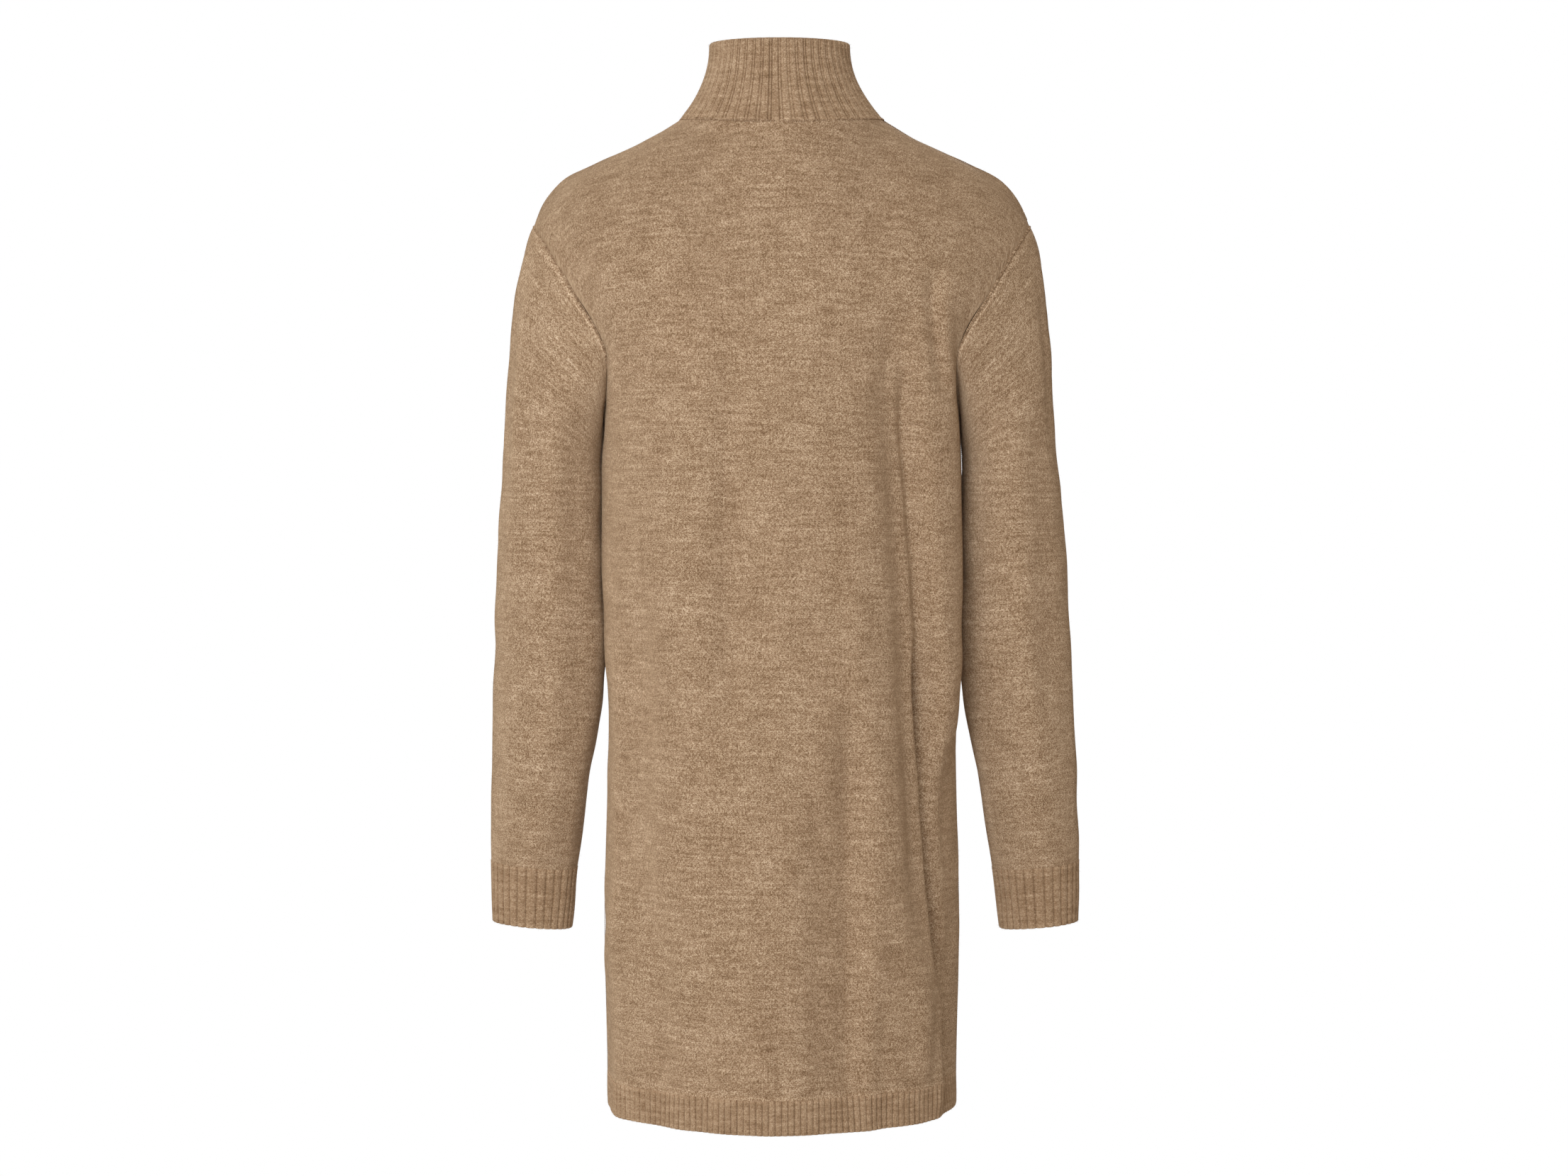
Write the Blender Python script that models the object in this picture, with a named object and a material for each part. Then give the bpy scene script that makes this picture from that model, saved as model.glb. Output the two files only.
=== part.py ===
"""A sweater dress with a high ribbed collar, as the knitted pieces that are linked into it.

The dress keeps the hollow form of a general figure, with the sleeves hanging at its sides.
Lengths are in metres. The origin is the middle of the neck, level with the two neck points,
where the shoulder seams meet the collar. +Z is up, -Y is the wearer's front and +X the
wearer's left. Each piece is a wall of cloth between an outer and an inner skin, and the
skins are grids of points worked out from the sizes and short tables below.
"""

from math import pi

import bmesh
import bpy
import numpy as np

# Cloth
KNIT_WALL = 0.0024
RIB_WALL = 0.0021  # under the grooves of a ribbed band
COLLAR_WALL = 0.0030  # the collar is knitted double
RIB_RELIEF = 0.0012  # a rib above its groove
RIB_SINK = 0.0009  # a groove under the face of the plain knit
SEAM_GAP = 0.0003
ARMHOLE_GAP = 0.0006
KNIT_COLOUR = (0.40, 0.27, 0.165, 1.0)
RIB_COLOUR = (0.36, 0.24, 0.145, 1.0)
YARN_ROUGHNESS = 0.95
SMOOTH_ANGLE = 0.7

# Heights, from the neck points
UNDERARM = -0.262
HEM_RIB_TOP = -0.832
HEM = -0.862
SLEEVE_HANGS_FREE = -0.305  # under this the sleeve is a plain tube
CUFF_TOP = -0.655
CUFF_END = -0.710

# The torso up to the underarms, as level rounded ovals
# Roundness 1 is an ellipse, and less is squarer
TORSO_COLUMNS = ("height", "half_width", "back", "front", "roundness")
TORSO = (
    (-0.870, 0.1535, 0.1370, 0.1120, 1.00),
    (-0.820, 0.1540, 0.1360, 0.1125, 0.99),
    (-0.700, 0.1560, 0.1320, 0.1130, 0.95),
    (-0.577, 0.1530, 0.1270, 0.1110, 0.90),
    (-0.515, 0.1518, 0.1232, 0.1092, 0.87),
    (-0.450, 0.1555, 0.1200, 0.1095, 0.87),
    (-0.370, 0.1578, 0.1175, 0.1110, 0.87),
    (-0.300, 0.1575, 0.1170, 0.1130, 0.87),
    (UNDERARM, 0.1550, 0.1170, 0.1140, 0.87),
)

# The neck line, where the collar is linked on, and the collar's rim. 1 is behind, -1 in front
NECK_HALF_WIDTH = 0.088
NECK_DEPTH = {1: 0.072, -1: 0.084}
NECK_DROP = {1: 0.0065, -1: 0.042}
NECK_LEAN = (0.45, 1.1)  # upward part of the cloth's face there, in the middle and at the side
RIM_HALF_WIDTH = 0.0605
RIM_SHIFT = 0.002  # the rim stands a little towards the wearer's left
RIM_DEPTH = {1: 0.054, -1: 0.066}
RIM_HEIGHT = 0.0655
RIM_DROP = {1: 0.0, -1: 0.020}
RIM_ROUNDING = 0.0011
COLLAR_FLARE = 2.15  # power of the flare from rim to foot

# The shoulder seam, from the neck point to the top of the sleeve
SHOULDER = (
    (NECK_HALF_WIDTH, 0.0, 0.0),
    (0.1200, 0.0, -0.0190),
    (0.1620, 0.0, -0.0375),
    (0.1930, 0.0, -0.0545),
    (0.2075, 0.0, -0.0730),
    (0.2155, 0.0, -0.0900),
)

# The armhole seam, from the underarm to the top of the sleeve: out, behind, height
ARMHOLE = (
    (0.1550, 0.000, UNDERARM),
    (0.1545, 0.018, -0.2560),
    (0.1520, 0.036, -0.2440),
    (0.1495, 0.055, -0.2240),
    (0.1500, 0.068, -0.2020),
    (0.1590, 0.070, -0.1800),
    (0.1735, 0.066, -0.1570),
    (0.1900, 0.054, -0.1290),
    (0.2060, 0.034, -0.1040),
    (0.2140, 0.014, -0.0925),
    (0.2155, 0.000, -0.0900),
)
ARMHOLE_PULL = 1.7  # power with which the yoke is drawn towards the armholes
UNDERARM_PULL = 3.5  # added to it at the underarm, where only the edge is drawn in
UNDERARM_REACH = 0.45  # share of the armhole over which that dies away
ARMHOLE_PACE = 0.72  # power by which the yoke's rows climb it, quickest at the underarm
SLEEVE_SIDE = (0.934, 0.0, -0.357)  # square to the armhole, towards the sleeve
SLEEVE_SETS_OFF = (0.30, 0.0, -0.95)  # the sleeve's course at the underarm
UNDERARM_TURN = (0.28, 0.62)  # shares of the armhole between which it takes up that course
SHOULDER_TURN = 0.20  # share of it over which the sleeve comes in line with the shoulder seam
SEAM_SPREAD = 1.2  # how far the two walls stand apart inside the underarm

# The sleeve where it hangs free, as rings
SLEEVE_COLUMNS = ("height", "outer", "inner", "middle", "half_depth")
SLEEVE = (
    (SLEEVE_HANGS_FREE, 0.2440, 0.1585, -0.011, 0.060),
    (-0.390, 0.2510, 0.1575, -0.019, 0.057),
    (-0.460, 0.2542, 0.1550, -0.023, 0.053),
    (-0.500, 0.2562, 0.1590, -0.025, 0.049),
    (-0.577, 0.2596, 0.1732, -0.029, 0.042),
    (CUFF_TOP, 0.2618, 0.1845, -0.034, 0.033),
    (CUFF_END, 0.2612, 0.1914, -0.036, 0.025),
)
ARM_SWING = 0.011  # both sleeves lean this much per metre towards the wearer's right
ARM_SWING_LEVEL = -0.400
SLEEVE_PULL = {"armhole": 0.7, "free": 1.0}  # how far the sleeve keeps its course at each end
SLEEVE_ROUNDNESS = 0.92
CUFF_TILT = 0.09  # rise per metre outwards, square to the hanging arm

# Soft folds. A place across is a length of cloth from the middle, the left being positive
FOLD_COLUMNS = ("top_across", "top", "end_across", "end", "half_width", "depth")
FOLDS = {
    1: (
        (-0.092, -0.150, -0.136, -0.760, 0.016, -0.0120),
        (-0.150, -0.120, -0.168, -0.600, 0.026, 0.0110),
        (-0.140, -0.125, -0.150, -0.250, 0.010, -0.0060),
        (-0.168, -0.500, -0.174, -0.860, 0.024, -0.0070),
        (0.042, -0.170, 0.040, -0.520, 0.020, -0.0050),
        (0.090, -0.230, 0.094, -0.520, 0.024, 0.0040),
        (-0.036, -0.540, -0.044, -0.990, 0.019, -0.0095),
        (0.148, -0.400, 0.152, -0.700, 0.018, -0.0055),
        (0.156, -0.640, 0.158, -0.990, 0.020, 0.0065),
        (-0.130, -0.700, -0.134, -0.990, 0.014, 0.0055),
    ),
    -1: (
        (0.094, -0.160, 0.128, -0.720, 0.017, -0.0105),
        (0.146, -0.140, 0.160, -0.600, 0.024, 0.0080),
        (0.164, -0.520, 0.170, -0.860, 0.024, -0.0060),
        (-0.088, -0.190, -0.112, -0.620, 0.019, -0.0070),
        (-0.030, -0.420, -0.020, -0.990, 0.020, -0.0095),
        (0.050, -0.520, 0.062, -0.990, 0.022, 0.0050),
        (-0.140, -0.600, -0.142, -0.990, 0.018, 0.0055),
    ),
}
# On the sleeves a place across is a share of the way round, from the outer side over the back
SLEEVE_FOLDS = {
    1: (
        (0.140, -0.130, 0.150, -0.420, 0.040, 0.0022),
        (0.350, -0.200, 0.330, -0.560, 0.050, -0.0030),
        (0.500, -0.190, 0.500, -0.360, 0.110, 0.0018),
        (0.640, -0.260, 0.700, -0.560, 0.045, -0.0035),
        (0.880, -0.200, 0.860, -0.520, 0.045, 0.0025),
    ),
    -1: (
        (0.000, -0.095, 0.000, -0.330, 0.140, -0.0018),
        (0.300, -0.220, 0.320, -0.520, 0.055, 0.0030),
        (0.170, -0.230, 0.160, -0.540, 0.045, -0.0030),
        (0.500, -0.190, 0.500, -0.290, 0.110, 0.0006),
        (0.690, -0.240, 0.720, -0.560, 0.045, -0.0035),
        (0.900, -0.260, 0.890, -0.560, 0.045, 0.0022),
    ),
}
FOLD_FADE = 0.22  # share of a fold's length over which each end dies away
SEAM_CALM = 0.12  # share of a panel over which its folds die away towards a seam
EASING_ROUNDS = 4  # the cloth eases itself over the yoke's turns this many times
EASED_ACROSS = 0.18  # share of the bend that it loses each time, across and up
EASED_UP = 0.05

# Grids. Neighbouring pieces meet at the same points of a seam
PANEL_COLUMNS = 28
NECK_COLUMNS = 12  # those of them that end at the neck line
SKIRT_ROWS = 12
YOKE_ROWS = 11
FAN_ROWS = 7
TUBE_ROWS = 8
CUFF_ROWS = 1
COLLAR_ROWS = (0.0, 0.12, 0.26, 0.44, 0.68, 0.965, 1.0)
COLLAR_RIBS = 52
HEM_RIBS = 84  # on each panel
CUFF_RIBS = 30
RIB_POINTS = (0.0, 0.26, 0.74)  # groove and two shoulders, across one rib
RIB_HEIGHTS = (0.0, 1.0, 1.0)

NECK_SHARE = NECK_COLUMNS / PANEL_COLUMNS
HEM_SHARE = (HEM_RIB_TOP - HEM) / (UNDERARM - HEM)
SMALL_STEP = 1e-4
CURVE_SAMPLES = 400
LEVEL = np.array((1.0, 1.0, 0.0))
UPWARDS = np.array((0.0, 0.0, 1.0))
MIRRORED = np.array((-1.0, 1.0, 1.0))


def ease(share):
    """0 to 1 with level ends."""
    share = np.clip(share, 0, 1)
    return share * share * (3 - 2 * share)


def unit(vectors):
    return vectors / np.linalg.norm(vectors, axis=-1, keepdims=True)


def through(knots, values, at):
    """A smooth curve through a table: cubic pieces whose slopes come from the neighbours."""
    slopes = np.gradient(values, knots)
    piece = np.clip(np.searchsorted(knots, at) - 1, 0, len(knots) - 2)
    step = knots[piece + 1] - knots[piece]
    t = (at - knots[piece]) / step
    return (
        values[piece] * (1 + 2 * t) * (1 - t) ** 2
        + values[piece + 1] * (3 - 2 * t) * t**2
        + slopes[piece] * step * t * (1 - t) ** 2
        - slopes[piece + 1] * step * (1 - t) * t**2
    )


def from_table(table, names, name, height):
    """One named column of a table, read at a height."""
    rows = np.array(sorted(table))
    return through(rows[:, 0], rows[:, names.index(name)], height)


def along_curve(points, share):
    """Points at equal shares of the length of a smooth curve through a table's rows."""
    points = np.array(points)
    chords = np.linalg.norm(np.diff(points, axis=0), axis=1)
    knots = np.concatenate(([0.0], np.cumsum(chords))) / chords.sum()
    return np.stack([through(knots, axis, share) for axis in points.T], axis=-1)


def quarter(half_width, depth, roundness, share):
    """Points at equal lengths on a quarter of a rounded oval, from its middle to its side,
    and the quarter's length."""
    angle = np.linspace(0, pi / 2, CURVE_SAMPLES)
    out = half_width * np.sin(angle) ** roundness
    away = depth * np.cos(angle) ** roundness
    length = np.concatenate(([0.0], np.cumsum(np.hypot(np.diff(out), np.diff(away)))))
    wanted = share * length[-1]
    return np.interp(wanted, length, out), np.interp(wanted, length, away), length[-1]


def torso_ring(face, across, height):
    """The torso at one height: face is 1 behind and -1 in front, across runs from -1 to 1."""
    sizes = (
        from_table(TORSO, TORSO_COLUMNS, name, height)
        for name in ("half_width", "back" if face == 1 else "front", "roundness")
    )
    out, away, _ = quarter(*sizes, np.abs(across))
    return np.stack((np.sign(across) * out, face * away, np.full_like(out, height)), axis=-1)


def neck_line(face, share):
    """The edge that carries the collar, from the middle, share 0, to the neck point, share 1."""
    angle = share * pi / 2
    away = face * NECK_DEPTH[face] * np.cos(angle)
    drop = NECK_DROP[face] * np.cos(angle) ** 2
    return np.stack((NECK_HALF_WIDTH * np.sin(angle), away, -drop), axis=-1)


def rim_line(face, share):
    """The collar's rim over the same share of the neck line."""
    angle = share * pi / 2
    away = face * RIM_DEPTH[face] * np.cos(angle)
    drop = RIM_DROP[face] * np.cos(angle) ** 2
    return np.stack((RIM_HALF_WIDTH * np.sin(angle), away, RIM_HEIGHT - drop), axis=-1)


def armhole(face, share):
    """The armhole seam from the underarm, share 0, up to the shoulder seam, share 1."""
    return along_curve(ARMHOLE, np.maximum(share, 0) ** ARMHOLE_PACE) * (1, face, 1)


def arch(face, size, up):
    """The yoke without its armholes: each column is part of an ellipse that rises from the
    ring at the underarms and ends at the neck line or, level over Y = 0, at the shoulder."""
    foot = torso_ring(face, size, UNDERARM)
    neck = neck_line(face, np.minimum(size / NECK_SHARE, 1))
    ridge = along_curve(SHOULDER, np.clip((size - NECK_SHARE) / (1 - NECK_SHARE), 0, 1))
    on_neck = size < NECK_SHARE
    top = np.where(on_neck[..., None], neck, ridge)
    lean = np.divide(top[..., 1], foot[..., 1], out=np.zeros_like(size), where=on_neck)
    end = np.arccos(np.clip(lean, 0, 1))
    turn = (1 - np.cos(up * end)) / (1 - np.cos(end))
    out = foot[..., 0] + (top[..., 0] - foot[..., 0]) * turn
    rise = (top[..., 2] - UNDERARM) * np.sin(up * end) / np.sin(end)
    return np.stack((out, foot[..., 1] * np.cos(up * end), UNDERARM + rise), axis=-1)


def yoke(face, across, up):
    """The panel over the underarms: the arch, drawn to the armhole seam at both sides."""
    size = np.abs(across)
    side = arch(face, np.ones_like(size), up)
    power = ARMHOLE_PULL + UNDERARM_PULL * np.clip(1 - up / UNDERARM_REACH, 0, 1) ** 2
    drawn = (size**power)[..., None] * (armhole(face, up) - side)
    point = arch(face, size, up) + drawn
    point[..., 0] *= np.sign(across)
    return point


def panel(face, across, up):
    """The back or front without its folds. up is 0 at the hem, 1 at the underarm and 2 at
    the top edge."""
    if up <= 1:
        return torso_ring(face, across, HEM + (UNDERARM - HEM) * up)
    return yoke(face, across, np.full_like(across, up - 1))


def leaving(face, up):
    """The sleeve's course off the armhole: on with the yoke's slope over the shoulder and
    the back, and down beside the body at the underarm."""
    side = np.ones_like(up)
    onward = yoke(face, side, up) - yoke(face, side - SMALL_STEP, up)
    seam = unit(armhole(face, up + SMALL_STEP) - armhole(face, up - SMALL_STEP))
    onward = unit(onward - seam * (onward * seam).sum(axis=-1, keepdims=True))
    onward[..., 1] *= ease((1 - up) / SHOULDER_TURN)
    low, high = UNDERARM_TURN
    turn = ease((up - low) / (high - low))[..., None]
    return unit(turn * onward + (1 - turn) * np.array(SLEEVE_SETS_OFF))


def sleeve_ring(side, around, height):
    """The hanging sleeve at one height, tilted more and more towards the cuff. side is 1 on
    the left and -1 on the right, and the ring is given as on the left."""
    outer, inner, middle, half_depth = (
        from_table(SLEEVE, SLEEVE_COLUMNS, name, height) for name in SLEEVE_COLUMNS[1:]
    )
    angle = around * 2 * pi
    across = np.sign(np.cos(angle)) * np.abs(np.cos(angle)) ** SLEEVE_ROUNDNESS
    behind = np.sign(np.sin(angle)) * np.abs(np.sin(angle)) ** SLEEVE_ROUNDNESS
    out = across * (outer - inner) / 2
    tilt = CUFF_TILT * ease((height - SLEEVE_HANGS_FREE) / (CUFF_TOP - SLEEVE_HANGS_FREE))
    centre = (outer + inner) / 2 + side * ARM_SWING * (height - ARM_SWING_LEVEL)
    return np.stack((centre + out, middle + behind * half_depth, height + tilt * out), axis=-1)


def half_turn(around):
    """A place around the armhole, as the share of the seam up from the underarm."""
    return np.abs(1 - 2 * (around % 1))


def sleeve(side, around, down):
    """The sleeve without its folds. around is 0 at the outer side, 0.25 behind and 0.5
    inside. down is 0 at the armhole, 1 where it hangs free, 2 and 3 at the cuff's ends."""
    if down >= 2:
        return sleeve_ring(side, around, CUFF_TOP + (CUFF_END - CUFF_TOP) * (down - 2))
    if down >= 1:
        drop = (CUFF_TOP - SLEEVE_HANGS_FREE) * (down - 1)
        return sleeve_ring(side, around, SLEEVE_HANGS_FREE + drop)
    up = half_turn(around)
    behind = (around % 1 < 0.5)[:, None]
    start = np.where(behind, armhole(1, up), armhole(-1, up))
    course = np.where(behind, leaving(1, up), leaving(-1, up))
    end = sleeve_ring(side, around, SLEEVE_HANGS_FREE)
    reach = np.linalg.norm(end - start, axis=1, keepdims=True)
    below = sleeve_ring(side, around, SLEEVE_HANGS_FREE - SMALL_STEP)
    straight = unit(below - end) * SLEEVE_PULL["free"]
    course = course * SLEEVE_PULL["armhole"]
    return (
        start * (1 + 2 * down) * (1 - down) ** 2
        + end * (3 - 2 * down) * down**2
        + course * reach * down * (1 - down) ** 2
        - straight * reach * (1 - down) * down**2
    )


def grid_of(surface, columns, rows, row_limits, column_limits=(-np.inf, np.inf)):
    """A surface's points and its normals, on a grid of rows and columns."""
    points, normals = [], []
    right, left = (
        np.clip(columns + step, *column_limits) for step in (SMALL_STEP, -SMALL_STEP)
    )
    for row in rows:
        above, below = (
            min(max(row + step, row_limits[0]), row_limits[1]) for step in (SMALL_STEP, -SMALL_STEP)
        )
        points.append(surface(columns, row))
        across = surface(right, row) - surface(left, row)
        normals.append(np.cross(surface(columns, above) - surface(columns, below), across))
    return np.array(points), unit(np.array(normals))


def fold_push(table, across, height, period=np.inf):
    """How far soft folds push the cloth out: each is a bell across, faded at both ends."""
    push = np.zeros(np.broadcast(across, height).shape)
    for row in table:
        fold = dict(zip(FOLD_COLUMNS, row))
        down = (height - fold["top"]) / (fold["end"] - fold["top"])
        middle = fold["top_across"] + (fold["end_across"] - fold["top_across"]) * down
        apart = np.abs(across - middle)
        apart = np.minimum(apart, np.abs(period - apart))
        fade = ease(down / FOLD_FADE) * ease((1 - down) / FOLD_FADE)
        push += fold["depth"] * np.exp(-((apart / fold["half_width"]) ** 2)) * fade
    return push


def eased(points):
    """A grid's points, those inside it moved a little towards their neighbours."""
    points = points.copy()
    for _ in range(EASING_ROUNDS):
        across = points[1:-1, 2:] + points[1:-1, :-2] - 2 * points[1:-1, 1:-1]
        up = points[2:, 1:-1] + points[:-2, 1:-1] - 2 * points[1:-1, 1:-1]
        points[1:-1, 1:-1] += EASED_ACROSS * across + EASED_UP * up
    return points


def panel_skin(face, columns, rows):
    """A panel's outer points with its folds, and its outward normals."""
    points, normals = grid_of(
        lambda across, up: panel(face, across, up), columns, rows, (0, 2), (-1, 1)
    )
    if rows[-1] == 2:
        points = eased(points)
        normals = np.cross(np.gradient(points, axis=0), np.gradient(points, axis=1))
    normals *= face
    at_side = np.abs(columns) == 1
    normals[:, at_side, 1] = 0
    if rows[-1] == 2:
        normals[-1, np.abs(columns) >= NECK_SHARE, 1] = 0
    normals = unit(normals)
    calm = ease((1 - np.abs(columns)) / SEAM_CALM)[None] * ease((2 - rows) / SEAM_CALM)[:, None]
    _, half_width, back, _, roundness = TORSO[-1]
    half_girth = quarter(half_width, back, roundness, 1)[2]
    push = fold_push(FOLDS[face], columns[None] * half_girth, points[..., 2]) * calm
    return points + normals * push[..., None], normals


def sleeve_skin(side, around, rows):
    """A sleeve's outer points with its folds, and its outward normals. side is 1 on the left."""
    points, normals = grid_of(
        lambda around, down: sleeve(side, around, down), around, rows, (0, 3)
    )
    push = fold_push(SLEEVE_FOLDS[side], around[None], points[..., 2], period=1)
    push *= ease(rows * 3)[:, None]
    return points + normals * push[..., None], normals


def neck_seam(face, share):
    """The collar seam, in straight runs between the panel's columns: its points, the way
    into the cloth and the way up along the cloth."""
    knots = np.linspace(0, 1, NECK_COLUMNS // 2 + 1)
    points = neck_line(face, knots)
    lean = NECK_LEAN[0] + (NECK_LEAN[1] - NECK_LEAN[0]) * knots**2
    into = -unit(unit(points * LEVEL) + UPWARDS * lean[:, None])
    course = np.gradient(points, axis=0)
    course[0, 1:] = 0
    course[-1, 0::2] = 0
    upward = unit(np.cross(course, into))
    upward *= np.sign(upward[:, 2:])
    return [
        np.stack([np.interp(share, knots, axis) for axis in values.T], axis=-1)
        for values in (points, into, upward)
    ]


def armhole_edges(face, up):
    """The seam's outer point, and the ways into the cloth of the panel and of the sleeve."""
    points = armhole(face, up)
    middle = armhole(face, np.array((0.0, 1.0))).mean(axis=0)
    inward = unit(middle - points)
    spread = SEAM_SPREAD * (1 - up)[:, None] ** 2 * np.array(SLEEVE_SIDE)
    return points, unit(inward - spread), unit(inward + spread)


def rib_columns(ribs):
    """Places across a ribbed band, from 0 to 1, and the height of the ribs there."""
    places = (np.arange(ribs)[:, None] + np.array(RIB_POINTS)).ravel() / ribs
    return places, np.tile(RIB_HEIGHTS, ribs) * RIB_RELIEF - RIB_SINK


def cloth_panel(face):
    """The two skins of the back or the front, from the hem's rib to the neck and shoulders."""
    columns = np.linspace(-1, 1, PANEL_COLUMNS + 1)
    rows = np.concatenate((
        np.linspace(HEM_SHARE, 1, SKIRT_ROWS + 1),
        1 + np.linspace(0, 1, YOKE_ROWS + 1)[1:],
    ))
    outer, normals = panel_skin(face, columns, rows)
    inner = outer - normals * KNIT_WALL
    on_neck = np.abs(columns) <= NECK_SHARE + SMALL_STEP
    seam, into, upward = neck_seam(face, np.abs(columns[on_neck]) / NECK_SHARE)
    turn = np.stack((np.where(columns[on_neck] < 0, -1, 1), *np.ones((2, on_neck.sum()))), axis=-1)
    outer[-1, on_neck] = (seam - upward * SEAM_GAP / 2) * turn
    inner[-1, on_neck] = outer[-1, on_neck] + into * turn * KNIT_WALL
    points, into_panel, _ = armhole_edges(face, rows[SKIRT_ROWS:] - 1)
    for column, turn in ((-1, 1), (0, MIRRORED)):
        edge = points - np.array(SLEEVE_SIDE) * ARMHOLE_GAP / 2
        outer[SKIRT_ROWS:, column] = edge * turn
        inner[SKIRT_ROWS:, column] = (edge + into_panel * KNIT_WALL) * turn
    for skin in (outer, inner):
        skin[: SKIRT_ROWS + 1, (0, -1), 1] = face * SEAM_GAP / 2
        skin[-1, np.abs(columns) > NECK_SHARE - SMALL_STEP, 1] = face * SEAM_GAP / 2
        skin[0, :, 2] += SEAM_GAP / 2
    return outer, inner


def hem_rib(face):
    """The two skins of the hem's ribbed band on one panel."""
    places, heights = rib_columns(HEM_RIBS)
    places, heights = np.append(places, 1.0), np.append(heights, heights[0])
    rows = np.array((0.0, HEM_SHARE))
    skins = []
    for columns, lift in (
        (places * 2 - 1, heights),
        (np.linspace(-1, 1, HEM_RIBS + 1), np.full(HEM_RIBS + 1, -RIB_SINK - RIB_WALL)),
    ):
        skin, normals = panel_skin(face, columns, rows)
        skin = skin + normals * lift[None, :, None]
        skin[:, (0, -1), 1] = face * SEAM_GAP / 2
        skin[-1, :, 2] -= SEAM_GAP / 2
        skins.append(skin)
    return skins


def cloth_sleeve(side):
    """The two skins of a sleeve, from the armhole to the cuff."""
    around = np.arange(2 * YOKE_ROWS) / (2 * YOKE_ROWS)
    rows = np.concatenate((
        np.linspace(0, 1, FAN_ROWS + 1),
        1 + np.linspace(0, 1, TUBE_ROWS + 1)[1:],
    ))
    outer, normals = sleeve_skin(side, around, rows)
    inner = outer - normals * KNIT_WALL
    up = half_turn(around)
    behind = (around < 0.5)[:, None]
    edges = zip(armhole_edges(1, up), armhole_edges(-1, up))
    points, _, into = (np.where(behind, back, front) for back, front in edges)
    outer[0] = points + np.array(SLEEVE_SIDE) * ARMHOLE_GAP / 2
    inner[0] = outer[0] + into * KNIT_WALL
    for skin in (outer, inner):
        skin[-1, :, 2] += SEAM_GAP / 2
        skin[..., 0] *= side
    return outer, inner


def cuff(side):
    """The two skins of a cuff's ribbed band."""
    places, heights = rib_columns(CUFF_RIBS)
    rows = 2 + np.linspace(0, 1, CUFF_ROWS + 1)
    skins = []
    for around, lift in (
        (places, heights),
        (np.arange(CUFF_RIBS) / CUFF_RIBS, np.full(CUFF_RIBS, -RIB_SINK - RIB_WALL)),
    ):
        skin, normals = sleeve_skin(side, around, rows)
        skin = skin + normals * lift[None, :, None]
        skin[0, :, 2] -= SEAM_GAP / 2
        skin[..., 0] *= side
        skins.append(skin)
    return skins


def collar_lines(turn):
    """The foot of the collar, its ways into and up the cloth, and its rim. turn is 0 behind,
    0.25 at the left neck point and 0.5 in front."""
    quarters = turn * 4
    share = 1 - np.abs(quarters % 2 - 1)
    behind = ((quarters < 1) | (quarters >= 3))[:, None]
    side = np.where(quarters <= 2, 1, -1)[:, None] * (1, 0, 0) + (0, 1, 1)
    lines = (
        np.where(behind, back, front) * side
        for back, front in zip(
            (*neck_seam(1, share), rim_line(1, share)),
            (*neck_seam(-1, share), rim_line(-1, share)),
        )
    )
    foot, into, upward, rim = lines
    return foot, into, upward, rim + (RIM_SHIFT, 0, 0)


def collar_surface(turn, up):
    """The collar from its foot, up 0, to its rim, up 1: it flares towards the foot."""
    foot, _, _, rim = collar_lines(turn % 1)
    flare = (1 - up) ** COLLAR_FLARE
    level = (rim + (foot - rim) * flare) * LEVEL
    return level + (foot + (rim - foot) * up) * UPWARDS


def collar():
    """The two skins of the collar."""
    places, heights = rib_columns(COLLAR_RIBS)
    rows = np.array(COLLAR_ROWS)
    skins = []
    for turn, lift, rounding in (
        (places, heights, RIM_ROUNDING),
        (
            np.arange(COLLAR_RIBS) / COLLAR_RIBS,
            np.full(COLLAR_RIBS, -RIB_SINK - COLLAR_WALL),
            -RIM_ROUNDING,
        ),
    ):
        skin, normals = grid_of(collar_surface, turn, rows, (0, 1))
        foot, into, upward, _ = collar_lines(turn)
        normals[0] = -into
        skin = skin + normals * lift[None, :, None]
        skin[0] += upward * SEAM_GAP / 2
        skin[-1] -= normals[-1] * rounding
        skins.append(skin)
    return skins


def skin_faces(start, shape, around):
    """Quads of a grid of points, of which the first has the index start."""
    rows, columns = shape
    return [
        tuple(
            start + r * columns + c % columns
            for r, c in ((row, column), (row, column + 1), (row + 1, column + 1), (row + 1, column))
        )
        for row in range(rows - 1)
        for column in range(columns if around else columns - 1)
    ]


def edge_faces(outer_shape, inner_shape, around):
    """Faces between the skins along their first and last rows and, unless the piece closes
    on itself, along its two sides. The outer skin may have several columns to an inner one."""
    rows, outer_columns = outer_shape
    inner_columns = inner_shape[1]
    second = rows * outer_columns
    spans = inner_columns if around else inner_columns - 1
    ratio = outer_columns // inner_columns if around else (outer_columns - 1) // spans
    faces = []
    for row in (0, rows - 1):
        for span in range(spans):
            outside = [
                row * outer_columns + (span * ratio + step) % outer_columns
                for step in range(ratio + 1)
            ]
            inside = [
                second + row * inner_columns + (span + step) % inner_columns for step in (1, 0)
            ]
            faces.append(tuple(outside + inside))
    if not around:
        for row in range(rows - 1):
            for outside, inside in ((0, 0), (outer_columns - 1, inner_columns - 1)):
                faces.append((
                    row * outer_columns + outside,
                    (row + 1) * outer_columns + outside,
                    second + (row + 1) * inner_columns + inside,
                    second + row * inner_columns + inside,
                ))
    return faces


def material(name, colour):
    made = bpy.data.materials.new(name)
    made.use_nodes = True
    shader = made.node_tree.nodes["Principled BSDF"]
    shader.inputs["Base Color"].default_value = colour
    shader.inputs["Roughness"].default_value = YARN_ROUGHNESS
    shader.inputs["Metallic"].default_value = 0.0
    made.diffuse_color = colour
    return made


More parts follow.
